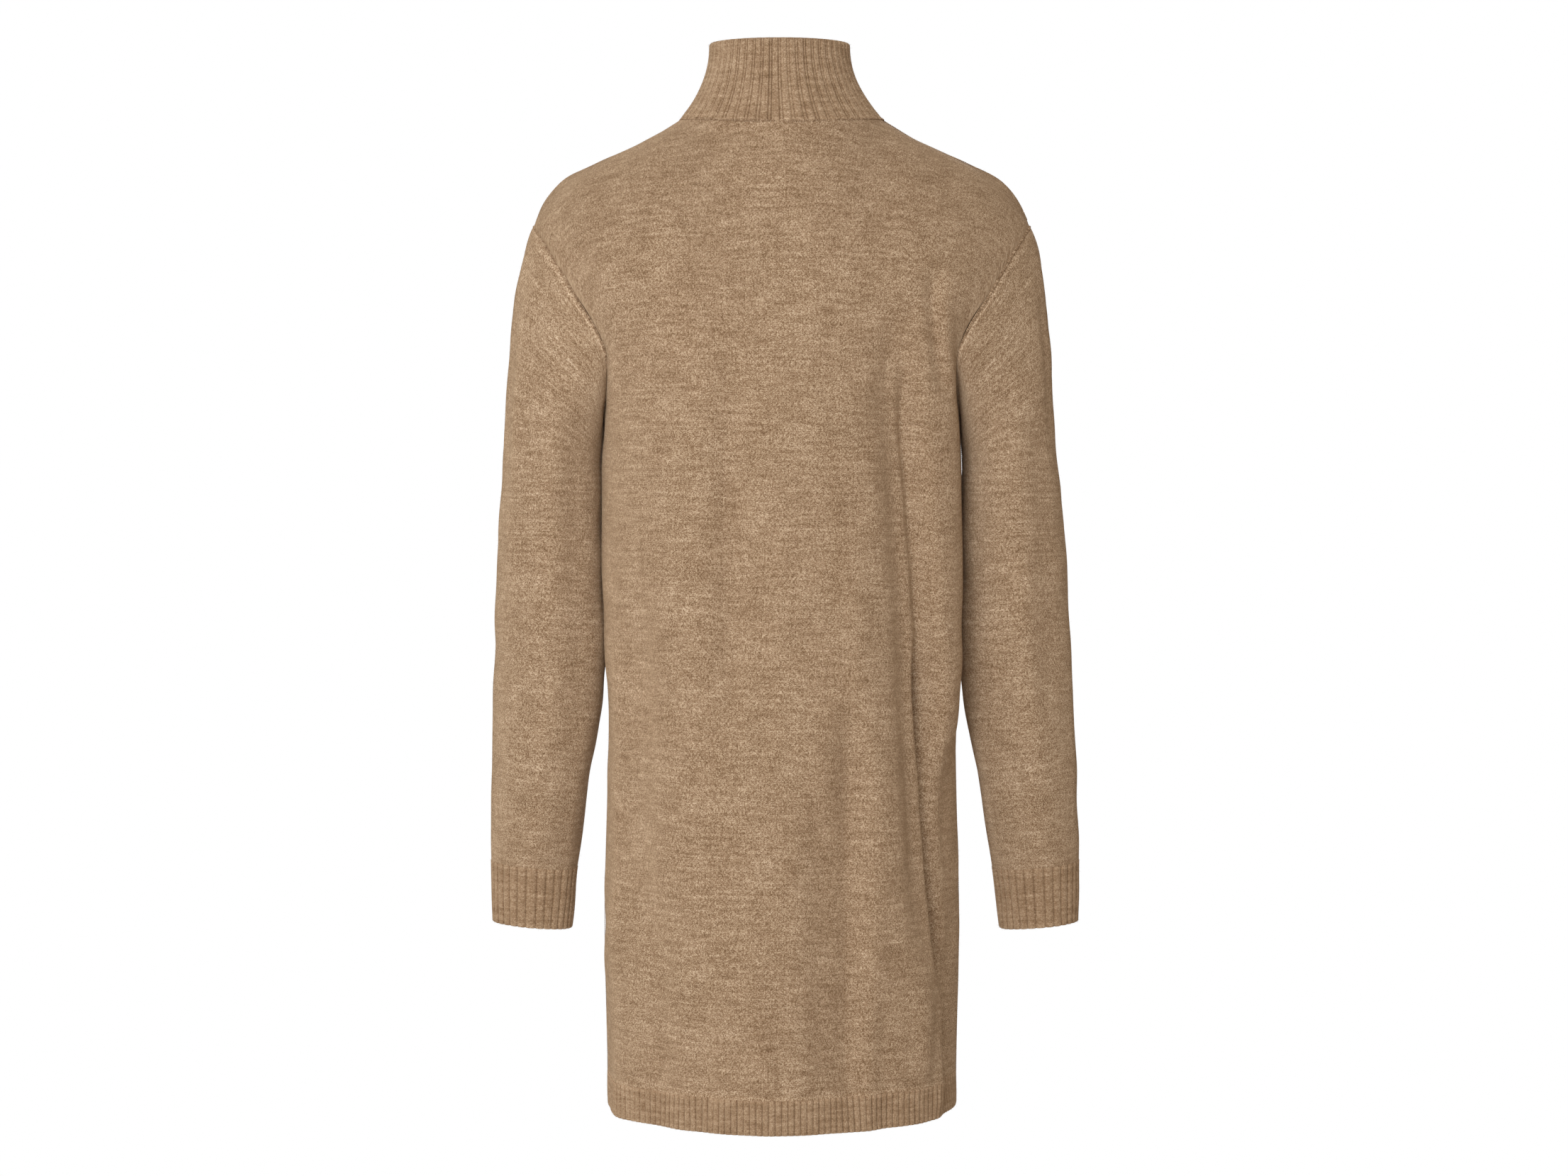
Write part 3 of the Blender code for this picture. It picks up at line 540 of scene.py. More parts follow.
def leaving(face, up):
    """The sleeve's course off the armhole: on with the yoke's slope over the shoulder and
    the back, and down beside the body at the underarm."""
    side = np.ones_like(up)
    onward = yoke(face, side, up) - yoke(face, side - SMALL_STEP, up)
    seam = unit(armhole(face, up + SMALL_STEP) - armhole(face, up - SMALL_STEP))
    onward = unit(onward - seam * (onward * seam).sum(axis=-1, keepdims=True))
    onward[..., 1] *= ease((1 - up) / SHOULDER_TURN)
    low, high = UNDERARM_TURN
    turn = ease((up - low) / (high - low))[..., None]
    return unit(turn * onward + (1 - turn) * np.array(SLEEVE_SETS_OFF))


def sleeve_ring(side, around, height):
    """The hanging sleeve at one height, tilted more and more towards the cuff. side is 1 on
    the left and -1 on the right, and the ring is given as on the left."""
    outer, inner, middle, half_depth = (
        from_table(SLEEVE, SLEEVE_COLUMNS, name, height) for name in SLEEVE_COLUMNS[1:]
    )
    angle = around * 2 * pi
    across = np.sign(np.cos(angle)) * np.abs(np.cos(angle)) ** SLEEVE_ROUNDNESS
    behind = np.sign(np.sin(angle)) * np.abs(np.sin(angle)) ** SLEEVE_ROUNDNESS
    out = across * (outer - inner) / 2
    tilt = CUFF_TILT * ease((height - SLEEVE_HANGS_FREE) / (CUFF_TOP - SLEEVE_HANGS_FREE))
    centre = (outer + inner) / 2 + side * ARM_SWING * (height - ARM_SWING_LEVEL)
    return np.stack((centre + out, middle + behind * half_depth, height + tilt * out), axis=-1)


def half_turn(around):
    """A place around the armhole, as the share of the seam up from the underarm."""
    return np.abs(1 - 2 * (around % 1))


def sleeve(side, around, down):
    """The sleeve without its folds. around is 0 at the outer side, 0.25 behind and 0.5
    inside. down is 0 at the armhole, 1 where it hangs free, 2 and 3 at the cuff's ends.
    From the armhole to the first ring each line is a cubic with a set course at both ends."""
    if down >= 2:
        return sleeve_ring(side, around, CUFF_TOP + (CUFF_END - CUFF_TOP) * (down - 2))
    if down >= 1:
        drop = (CUFF_TOP - SLEEVE_HANGS_FREE) * (down - 1)
        return sleeve_ring(side, around, SLEEVE_HANGS_FREE + drop)
    up = half_turn(around)
    behind = (around % 1 < 0.5)[:, None]
    start = np.where(behind, armhole(1, up), armhole(-1, up))
    course = np.where(behind, leaving(1, up), leaving(-1, up))
    end = sleeve_ring(side, around, SLEEVE_HANGS_FREE)
    reach = np.linalg.norm(end - start, axis=1, keepdims=True)
    below = sleeve_ring(side, around, SLEEVE_HANGS_FREE - SMALL_STEP)
    straight = unit(below - end) * SLEEVE_PULL["free"]
    course = course * SLEEVE_PULL["armhole"]
    return (
        start * (1 + 2 * down) * (1 - down) ** 2
        + end * (3 - 2 * down) * down**2
        + course * reach * down * (1 - down) ** 2
        - straight * reach * (1 - down) * down**2
    )


def grid_of(surface, columns, rows, row_limits, column_limits=(-np.inf, np.inf)):
    """A surface's points and its normals, on a grid of rows and columns: the normal is the
    cross product of two short central steps."""
    points, normals = [], []
    right, left = (
        np.clip(columns + step, *column_limits) for step in (SMALL_STEP, -SMALL_STEP)
    )
    for row in rows:
        above, below = (
            min(max(row + step, row_limits[0]), row_limits[1]) for step in (SMALL_STEP, -SMALL_STEP)
        )
        points.append(surface(columns, row))
        across = surface(right, row) - surface(left, row)
        normals.append(np.cross(surface(columns, above) - surface(columns, below), across))
    return np.array(points), unit(np.array(normals))


def fold_push(table, across, height, period=np.inf):
    """How far soft folds push the cloth out: each is a bell across, faded at both ends."""
    push = np.zeros(np.broadcast(across, height).shape)
    for row in table:
        fold = dict(zip(FOLD_COLUMNS, row))
        down = (height - fold["top"]) / (fold["end"] - fold["top"])
        middle = fold["top_across"] + (fold["end_across"] - fold["top_across"]) * down
        apart = np.abs(across - middle)
        apart = np.minimum(apart, np.abs(period - apart))
        fade = ease(down / FOLD_FADE) * ease((1 - down) / FOLD_FADE)
        push += fold["depth"] * bell(apart, fold["half_width"]) * fade
    return push


def unevenness(points):
    """Slow waves over the cloth: sines of the place along directions drawn once, one pair
    for each wavelength."""
    draw = np.random.default_rng(SEED)
    push = np.zeros(points.shape[:-1])
    for length, height in UNEVENNESS:
        for _ in range(2):
            course = unit(draw.normal(size=3))
            push += height * np.sin(points @ course * 2 * pi / length + draw.uniform(0, 2 * pi))
    return push


def half_girth():
    """Length of cloth from the middle of a panel to its side, at the underarms."""
    _, half_width, back, _, roundness = TORSO[-1]
    return quarter(half_width, back, roundness, 1)[2]


def between_lines(values, rows, columns):
    """A grid's values between its lines: the mean of the four around, weighted by nearness.
    The places are counted in rows and columns."""
    row = np.minimum(rows.astype(int), values.shape[0] - 2)
    column = np.minimum(columns.astype(int), values.shape[1] - 2)
    down, aside = (rows - row)[:, None, None], (columns - column)[None, :, None]
    low, high = (
        values[np.ix_(line, column)] * (1 - aside) + values[np.ix_(line, column + 1)] * aside
        for line in (row, row + 1)
    )
    return low * (1 - down) + high * down


def easing(face):
    """How far the cloth eases itself at each place of an even grid of the panel: in every
    round a point moves by a share of its bend, the sum of its neighbours less twice itself."""
    even = np.linspace(-1, 1, PANEL_COLUMNS + 1)
    start = np.array([panel(face, even, up) for up in np.linspace(0, 2, 2 * EASING_ROWS + 1)])
    points = start.copy()
    for _ in range(EASING_ROUNDS):
        across = points[1:-1, 2:] + points[1:-1, :-2] - 2 * points[1:-1, 1:-1]
        up = points[2:, 1:-1] + points[:-2, 1:-1] - 2 * points[1:-1, 1:-1]
        points[1:-1, 1:-1] += EASED_ACROSS * across + EASED_UP * up
    low, high = EASED_FROM
    share = ease((np.linspace(0, 2, len(start)) - low) / (high - low))
    return (points - start) * share[:, None, None]


def panel_skin(face, columns, rows):
    """A panel's outer points with its folds, and its outward normals."""
    points, normals = grid_of(
        lambda across, up: panel(face, across, up), columns, rows, (0, 2), (-1, 1)
    )
    if rows[-1] == 2:
        places = rows * EASING_ROWS, (columns + 1) / 2 * PANEL_COLUMNS
        points += between_lines(easing(face), *places)
        normals = np.cross(np.gradient(points, axis=0), np.gradient(points, axis=1))
    normals *= face
    at_side = np.abs(columns) == 1
    normals[:, at_side, 1] = 0
    if rows[-1] == 2:
        normals[-1, np.abs(columns) >= NECK_SHARE, 1] = 0
    normals = unit(normals)
    calm = ease((1 - np.abs(columns)) / SEAM_CALM)[None] * ease((2 - rows) / SEAM_CALM)[:, None]
    across = columns[None] * half_girth()
    push = fold_push(FOLDS[face] + CREASES[face], across, points[..., 2]) * calm
    push += unevenness(points)
    return points + normals * push[..., None], normals


def sleeve_skin(side, around, rows):
    """A sleeve's outer points with its folds, and its outward normals. side is 1 on the left."""
    points, normals = grid_of(
        lambda around, down: sleeve(side, around, down), around, rows, (0, 3)
    )
    folds = SLEEVE_FOLDS[side] + SLEEVE_CREASES[side]
    push = fold_push(folds, around[None], points[..., 2], period=1)
    push *= ease(rows * 3)[:, None]
    push += unevenness(points * (side, 1, 1))
    return points + normals * push[..., None], normals


def neck_seam(face, share):
    """The collar seam: its points, the way into the cloth and the way up along the cloth."""
    points = neck_line(face, share)
    lean = NECK_LEAN[0] + (NECK_LEAN[1] - NECK_LEAN[0]) * share**2
    into = -unit(unit(points * LEVEL) + UPWARDS * lean[:, None])
    course = neck_line(face, share + SMALL_STEP) - neck_line(face, share - SMALL_STEP)
    upward = unit(np.cross(course, into))
    upward *= np.sign(upward[:, 2:])
    return points, into, upward


def armhole_edges(face, up):
    """The seam's outer point, and the ways into the cloth of the panel and of the sleeve."""
    points = armhole(face, up)
    middle = armhole(face, np.array((0.0, 1.0))).mean(axis=0)
    inward = unit(middle - points)
    spread = SEAM_SPREAD * (1 - up)[:, None] ** 2 * np.array(SLEEVE_SIDE)
    return points, unit(inward - spread), unit(inward + spread)


# ---- walls of cloth


def rolled(apart, dip=SEAM_DIP):
    """How deep the cloth dips at this distance from a seam: a bell that ends at the seam."""
    return dip * bell(apart, SEAM_ROLL)


def rounded(apart, radius=EDGE_ROUNDING):
    """How far a skin draws in near a free edge, as the corner of a quarter circle does."""
    share = np.clip(1 - apart / radius, 0, 1)
    return radius * (1 - np.sqrt(1 - share**2)) * EDGE_SHARE


def bent(ways, others, near):
    """Directions that turn to others where near is 1."""
    return unit(ways * (1 - near) + others * near)


def lengths_down(points):
    """Length of cloth up to each row of a grid, the mean over its columns."""
    steps = np.linalg.norm(np.diff(points, axis=0), axis=2).mean(axis=1)
    return np.concatenate(([0.0], np.cumsum(steps)))


def corners(rows, columns, pattern):
    """Faces of one kind: every starting row and column, plus each corner of a pattern of
    (skin, row, column)."""
    start = np.stack(np.meshgrid(rows, columns, indexing="ij"), axis=-1).reshape(-1, 1, 2)
    pattern = np.array(pattern)
    places = start + pattern[:, 1:]
    skin = np.broadcast_to(pattern[:, 0], places.shape[:2])
    return np.concatenate((skin[..., None], places), axis=-1)


def wall_faces(rows, columns, around):
    """Faces of a closed wall of cloth. The outer skin, 0, has every row and column, and the
    inner one, 1, every second. They are joined along the first and last rows and, unless
    the piece closes on itself, along its two sides."""
    spans = columns if around else columns - 1
    every_row, every_column = np.arange(rows - 1), np.arange(spans)
    second_row, second_column = every_row[::2], every_column[::2]
    last = rows - 1
    faces = [
        corners(every_row, every_column, ((0, 0, 0), (0, 0, 1), (0, 1, 1), (0, 1, 0))),
        corners([0], second_column, ((0, 0, 2), (0, 0, 1), (0, 0, 0), (1, 0, 0), (1, 0, 2))),
        corners([last], second_column, ((0, 0, 0), (0, 0, 1), (0, 0, 2), (1, 0, 2), (1, 0, 0))),
    ]
    if not around:
        up = ((0, 0, 0), (0, 1, 0), (0, 2, 0), (1, 2, 0), (1, 0, 0))
        down = ((0, 2, 0), (0, 1, 0), (0, 0, 0), (1, 0, 0), (1, 2, 0))
        faces += [corners(second_row, [0], up), corners(second_row, [spans], down)]
    inner = corners(second_row, second_column, ((1, 0, 0), (1, 2, 0), (1, 2, 2), (1, 0, 2)))
    return faces, inner


def make_mesh(name, points, faces, finishes, finish_of=None, places=None):
    """A mesh from its points and arrays of faces, with its materials and its UV map."""
    mesh = bpy.data.meshes.new(name)
    loops = np.concatenate([face.ravel() for face in faces])
    sizes = np.concatenate([np.full(len(face), face.shape[1]) for face in faces])
    mesh.vertices.add(len(points))
    mesh.vertices.foreach_set("co", points.astype(np.float32).ravel())
    mesh.loops.add(len(loops))
    mesh.loops.foreach_set("vertex_index", loops.astype(np.int32))
    mesh.polygons.add(len(sizes))
    mesh.polygons.foreach_set("loop_start", np.concatenate(([0], np.cumsum(sizes)[:-1])))
    for finish in finishes:
        mesh.materials.append(finish)
    if finish_of is not None:
        mesh.polygons.foreach_set("material_index", finish_of)
    if places is not None:
        mesh.uv_layers.new(name="cloth").uv.foreach_set("vector", places.astype(np.float32).ravel())
    mesh.update(calc_edges=True)
    mesh.validate()
    mesh.shade_smooth()
    piece = bpy.data.objects.new(name, mesh)
    bpy.context.scene.collection.objects.link(piece)
    return piece


def wall(name, outer, inner, places, around, finishes):
    """One piece of cloth: a closed wall from an outer and an inner grid of points, with the
    cloth's coordinates of the outer grid. The faces are turned to point outwards."""
    rows, columns = outer.shape[:2]
    inner = inner[::2, ::2]
    outer_faces, inner_faces = wall_faces(rows, columns, around)
    facing = np.cross(np.diff(outer[:-1], axis=1), np.diff(outer[:, :-1], axis=0))
    outward = (outer[::2, ::2] - inner)[: rows // 2, : (columns - 1) // 2]
    flip = (facing[::2, ::2][:, : outward.shape[1]] * outward).sum() < 0
    faces, uvs = [], []
    for face in (*outer_faces, inner_faces):
        skin, row, column = np.moveaxis(face[:, ::-1] if flip else face, -1, 0)
        on_outer = row * columns + column % columns
        on_inner = (row // 2) * inner.shape[1] + (column // 2) % inner.shape[1]
        faces.append(np.where(skin == 0, on_outer, rows * columns + on_inner))
        uvs.append(places[row, column].reshape(-1, 2))
    finish_of = np.zeros(sum(len(face) for face in faces), dtype=np.int32)
    finish_of[-len(inner_faces):] = len(finishes) - 1
    points = np.concatenate((outer.reshape(-1, 3), inner.reshape(-1, 3)))
    piece = make_mesh(name, points, faces, finishes, finish_of, np.concatenate(uvs))
    piece.data.set_sharp_from_angle(angle=radians(SHARP_ANGLE))
    return piece


def panel_places(points):
    """The cloth's coordinates of a panel: at each point, the length along its row from the
    middle column and the length up its column from the hem."""
    across = np.linalg.norm(np.diff(points, axis=1), axis=2)
    across = np.cumsum(np.pad(across, ((0, 0), (1, 0))), axis=1)
    up = np.linalg.norm(np.diff(points, axis=0), axis=2)
    up = np.cumsum(np.pad(up, ((1, 0), (0, 0))), axis=0)
    return np.stack((across - across[:, points.shape[1] // 2][:, None], up), axis=-1)


def cloth_places(across, down):
    """The cloth's coordinates of a grid, from its lengths across and down."""
    return np.stack(np.broadcast_arrays(across, down[:, None]), axis=-1)


def panel_lines():
    """Columns and rows of a panel's grid, with closer ones beside its seams."""
    beside = EDGE_STEPS / half_girth()
    even = np.linspace(-1, 1, PANEL_COLUMNS + 1)
    columns = np.concatenate((-1 + beside, even[2:-2], (1 - beside)[::-1]))
    yoke_rows = 1 + np.linspace(0, 1, YOKE_ROWS + 1)
    close = 2 - EDGE_STEPS[::-1] / (-UNDERARM)
    rows = np.concatenate((np.linspace(HEM_SHARE, 1, SKIRT_ROWS + 1), yoke_rows[1:-2], close))
    return columns, rows


def back_or_front(face, name, finishes):
    """The back, face 1, or the front, face -1, from the hem's rib to the neck."""
    columns, rows = panel_lines()
    outer, normals = panel_skin(face, columns, rows)
    from_side = (1 - np.abs(columns))[None] * half_girth()
    from_top = ((2 - rows) * -UNDERARM)[:, None]
    from_hem = ((rows - HEM_SHARE) * (UNDERARM - HEM))[:, None]
    dip = np.maximum(rolled(from_side), rolled(np.minimum(from_top, from_hem), TOP_DIP))
    mirror = np.where(columns < 0, -1, 1)[:, None] ** [1, 0, 0]
    _, into_panel, _ = armhole_edges(face, np.clip(rows - 1, 0, 1))
    _, into_neck, _ = neck_seam(face, np.minimum(np.abs(columns) / NECK_SHARE, 1))
    near_side = bell(from_side, SEAM_BLEND) * ease((rows - 1) / SEAM_CALM)[:, None]
    near_neck = bell(from_top, SEAM_BLEND) * (np.abs(columns) <= NECK_SHARE)[None]
    into = bent(-normals, into_panel[:, None] * mirror, near_side[..., None])
    into = bent(into, into_neck * mirror, near_neck[..., None])
    inner = outer + into * KNIT_WALL
    outer = outer - normals * dip[..., None]
    return wall(name, outer, inner, panel_places(outer), False, finishes), outer, normals


def groove_depth(ribs, points, twin, columns):
    """Height of a ribbed band across its columns, 1 on a rib and 0 in a groove: one bell cut
    out between two ribs, or two narrow ones. Grooves are uneven, each by its own draw."""
    draw = np.random.default_rng(SEED + ribs)
    place = np.arange(columns) / points
    apart = np.abs((place + 0.5) % 1 - 0.5)
    if twin:
        cut = TWIN_DEPTH * bell(apart - TWIN_GROOVE_APART, TWIN_GROOVE_WIDTH)
    else:
        cut = bell(apart, GROOVE_WIDTH)
    nearest = np.round(place).astype(int) % ribs
    strength = np.clip(draw.normal(*GROOVE_STRENGTH, ribs), GROOVE_LEAST, 1.0)[nearest]
    return 1 - cut * strength - RIB_CROWN * np.cos(apart * 2 * pi)


def ribbed(points, normals, relief, thickness, draw_in, inner_draw_in, dip=0.0):
    """A ribbed band's outer and inner skins. relief is the height of its ribs, and each skin
    draws in towards a free edge."""
    lift = relief[None] * RIB_RELIEF - RIB_SINK - draw_in - dip
    inner = points + normals * (-RIB_SINK - thickness + inner_draw_in)[..., None]
    return points + normals * lift[..., None], inner


def hem_band(face, name, finishes):
    """The hem's ribbed band on one panel, with a rounded lower edge."""
    count = HEM_RIBS * RIB_POINTS
    columns = np.linspace(-1, 1, count + 1)
    height = HEM_RIB_TOP - HEM
    even = np.linspace(HEM_EVEN_FROM, 1, HEM_ROWS + 1)[1:]
    rows = HEM_SHARE * np.concatenate((BAND_STEPS * EDGE_ROUNDING / height, even))
    outer, normals = panel_skin(face, columns, rows)
    relief = groove_depth(HEM_RIBS, RIB_POINTS, False, count + 1)
    draw_in = rounded(rows / HEM_SHARE * height)[:, None]
    dip = rolled((1 - np.abs(columns)) * half_girth())[None] * HEM_SIDE_DIP
    outer, inner = ribbed(outer, normals, relief, RIB_WALL, draw_in, draw_in, dip)
    across = np.arange(count + 1) / RIB_POINTS * RIB_WALES * WALE
    places = cloth_places(across, (1 - rows / HEM_SHARE) * height)
    return wall(name, outer, inner, places, False, finishes), outer, normals


def turned(side, *grids):
    """Grids given as on the left, put on their own side."""
    return [grid * np.array((side, 1, 1)) for grid in grids]


def hanging_sleeve(side, name, finishes):
    """A sleeve from the armhole to the cuff."""
    around = np.arange(SLEEVE_RING) / SLEEVE_RING
    fan = np.linspace(0, 1, FAN_ROWS + 1)[2:]
    tube = 1 + np.linspace(0, 1, TUBE_ROWS + 1)[1:]
    rows = np.concatenate((SLEEVE_STEPS, fan, tube[:-3], tube[-2:-1], (SLEEVE_LAST_ROW, 2.0)))
    outer, normals = sleeve_skin(side, around, rows)
    down = lengths_down(outer)
    up = half_turn(around)
    _, _, into_back = armhole_edges(1, up)
    _, _, into_front = armhole_edges(-1, up)
    into_seam = np.where((around < 0.5)[:, None], into_back, into_front)[None]
    inner = outer + bent(-normals, into_seam, bell(down, SEAM_BLEND)[:, None, None]) * KNIT_WALL
    outer = outer - normals * rolled(down)[:, None, None]
    outer, inner, normals = turned(side, outer, inner, normals)
    girth = np.linalg.norm(np.diff(outer[len(rows) // 2], axis=0), axis=1).mean() * SLEEVE_RING
    places = cloth_places(np.arange(SLEEVE_RING + 1) / SLEEVE_RING * girth, down)
    return wall(name, outer, inner, places, True, finishes), outer, normals


def ribbed_cuff(side, name, finishes):
    """A cuff's ribbed band, with a rounded end."""
    count = CUFF_RIBS * RIB_POINTS
    height = CUFF_TOP - CUFF_END
    even = np.delete(np.linspace(0, height - CUFF_EVEN_TO, CUFF_ROWS - 3), -2)
    drops = np.concatenate((even, height - BAND_STEPS[::-1] * EDGE_ROUNDING))
    outer, normals = sleeve_skin(side, np.arange(count) / count, 2 + drops / height)
    relief = groove_depth(CUFF_RIBS, RIB_POINTS, False, count)
    draw_in = rounded(height - drops)[:, None]
    outer, inner = ribbed(outer, normals, relief, RIB_WALL, draw_in, draw_in)
    outer, inner, normals = turned(side, outer, inner, normals)
    places = cloth_places(np.arange(count + 1) / RIB_POINTS * RIB_WALES * WALE, drops)
    return wall(name, outer, inner, places, True, finishes), outer, normals


def collar_lines(turn):
    """The foot of the collar, its ways into and up the cloth, and its rim. turn is 0 behind,
    0.25 at the left neck point and 0.5 in front."""
    quarters = turn * 4
    share = 1 - np.abs(quarters % 2 - 1)
    behind = ((quarters < 1) | (quarters >= 3))[:, None]
    side = np.where(quarters <= 2, 1, -1)[:, None] * (1, 0, 0) + (0, 1, 1)
    lines = (
        np.where(behind, back, front) * side
        for back, front in zip(
            (*neck_seam(1, share), rim_line(1, share)),
            (*neck_seam(-1, share), rim_line(-1, share)),
        )
    )
    foot, into, upward, rim = lines
    return foot, into, upward, rim + (RIM_SHIFT, 0, 0)


def collar_surface(turn, up):
    """The collar from its foot, up 0, to its rim, up 1: it flares towards the foot."""
    foot, _, _, rim = collar_lines(turn % 1)
    flare = (1 - up) ** COLLAR_FLARE
    level = (rim + (foot - rim) * flare) * LEVEL
    return level + (foot + (rim - foot) * up) * UPWARDS


def ribbed_collar(name, finishes):
    """The high collar, ribbed all round, with a rounded rim."""
    count = COLLAR_RIBS * COLLAR_RIB_POINTS
    turn = np.arange(count) / count
    low = COLLAR_EVEN_TO * np.linspace(0, 1, COLLAR_ROWS - 4) ** COLLAR_CLOSING
    rows = np.concatenate((low, 1 - RIM_STEPS * RIM_ROUNDING / RIM_HEIGHT))
    outer, normals = grid_of(collar_surface, turn, rows, (0, 1))
    _, into, _, _ = collar_lines(turn)
    from_foot, from_rim = rows * RIM_HEIGHT, ((1 - rows) * RIM_HEIGHT)[:, None]
    normals = bent(normals, -into[None], bell(from_foot, FOOT_BLEND)[:, None, None])
    outer = outer + normals * unevenness(outer)[..., None] * COLLAR_EVENNESS
    relief = groove_depth(COLLAR_RIBS, COLLAR_RIB_POINTS, True, count)
    draw_in, inner_draw_in = rounded(from_rim, RIM_ROUNDING), rounded(from_rim)
    dip = rolled(from_foot, TOP_DIP)[:, None]
    outer, inner = ribbed(outer, normals, relief, COLLAR_WALL, draw_in, inner_draw_in, dip)
    across = np.arange(count + 1) / COLLAR_RIB_POINTS * COLLAR_RIB_WALES * WALE
    places = cloth_places(across, lengths_down(outer))
    return wall(name, outer, inner, places, True, finishes), outer, normals


# ---- linked seams


def grain_shape():
    """A small round grain: the corners and faces of an icosahedron of radius 1."""
    made = bmesh.new()
    bmesh.ops.create_icosphere(made, subdivisions=1, radius=1.0)
    points = np.array([vertex.co for vertex in made.verts])
    faces = np.array([[vertex.index for vertex in face.verts] for face in made.faces])
    made.free()
    return points, faces


def linking(name, line, outward, finish, pitch=GRAIN_PITCH, loop=LOOP, aside=0.0):
    """A row of linked loops along a line of points: at every pitch two slim grains lean
    together as a V. outward is the cloth's face there, loop a grain's half length, half
    width and half height, and aside moves the row across the line."""
    steps = np.linalg.norm(np.diff(line, axis=0), axis=1)
    length = np.concatenate(([0.0], np.cumsum(steps)))
    places = np.arange(pitch / 2, length[-1], pitch)
    at, face = (
        np.stack([np.interp(places, length, axis) for axis in values.T], axis=-1)
        for values in (line, outward)
    )
    face = unit(face)
    course = unit(np.gradient(at, axis=0))
    across = unit(np.cross(face, course))
    shape, shape_faces = grain_shape()
    points, faces = [], []
    for turn in (1, -1):
        lengthways = unit(course + across * turn * GRAIN_SLANT)
        sideways = np.cross(face, lengthways)
        centre = at + across * (aside + turn * GRAIN_SPREAD) + face * loop[2] * GRAIN_LIFT
        grains = centre[:, None] + sum(
            shape[None, :, axis : axis + 1] * (direction * size)[:, None]
            for axis, (direction, size) in enumerate(zip((lengthways, sideways, face), loop))
        )
        faces.append(shape_faces[None] + (np.arange(len(at)) * len(shape))[:, None, None]
                     + sum(len(part) for part in points))
        points.append(grains.reshape(-1, 3))
    faces = np.concatenate([face_set.reshape(-1, 3) for face_set in faces])
    if np.linalg.det(np.stack((lengthways[0], sideways[0], face[0]))) < 0:
        faces = faces[:, ::-1]
    return make_mesh(name, np.concatenate(points), [faces], [finish])


def nap(name, points, normals, count, finish):
    """Short loose fibres on a skin: each stands on a drawn place of its grid, leans a drawn
    way and bends once, as a three-sided spike of two lengths."""
    draw = np.random.default_rng(SEED + len(name) + count)
    rows, columns = points.shape[:2]
    row, column = draw.uniform(0, rows - 1.001, count), draw.uniform(0, columns - 1.001, count)
    r, c = row.astype(int), column.astype(int)
    s, t = (row - r)[:, None], (column - c)[:, None]

    def between(values):
        low = values[r, c] * (1 - t) + values[r, c + 1] * t
        return low * (1 - s) + (values[r + 1, c] * (1 - t) + values[r + 1, c + 1] * t) * s

    face = unit(between(normals))
    root = between(points) - face * FIBRE_SUNK
    lean = unit(draw.normal(size=(count, 3)))
    half = draw.uniform(*FIBRE_LENGTH, size=(count, 1)) / 2
    first = unit(face * FIBRE_RISE + lean)
    rise = draw.uniform(-FIBRE_BEND, FIBRE_BEND, (count, 1))
    second = unit(first + face * rise + lean * FIBRE_LEAN)
    middle = root + first * half
    tip = middle + second * half
    side = unit(np.cross(first, face + lean[:, ::-1] * FIBRE_ASIDE))
    other = np.cross(first, side)
    angles = (np.arange(3) * 2 * pi / 3)[None, :, None]
    ring = FIBRE_RADIUS * (side[:, None] * np.cos(angles) + other[:, None] * np.sin(angles))
    bend = middle[:, None] + ring * FIBRE_TAPER
    corner = np.concatenate((root[:, None] + ring, bend, tip[:, None]), axis=1)
    shape = np.array([
        (0, 2, 1),
        *((a, b, b + 3) for a, b in ((0, 1), (1, 2), (2, 0))),
        *((a, b + 3, a + 3) for a, b in ((0, 1), (1, 2), (2, 0))),
        *((a + 3, b + 3, 6) for a, b in ((0, 1), (1, 2), (2, 0))),
    ])
    faces = (shape[None] + (np.arange(count) * 7)[:, None, None]).reshape(-1, 3)
    return make_mesh(name, corner.reshape(-1, 3), [faces], [finish])


# ---- finishes


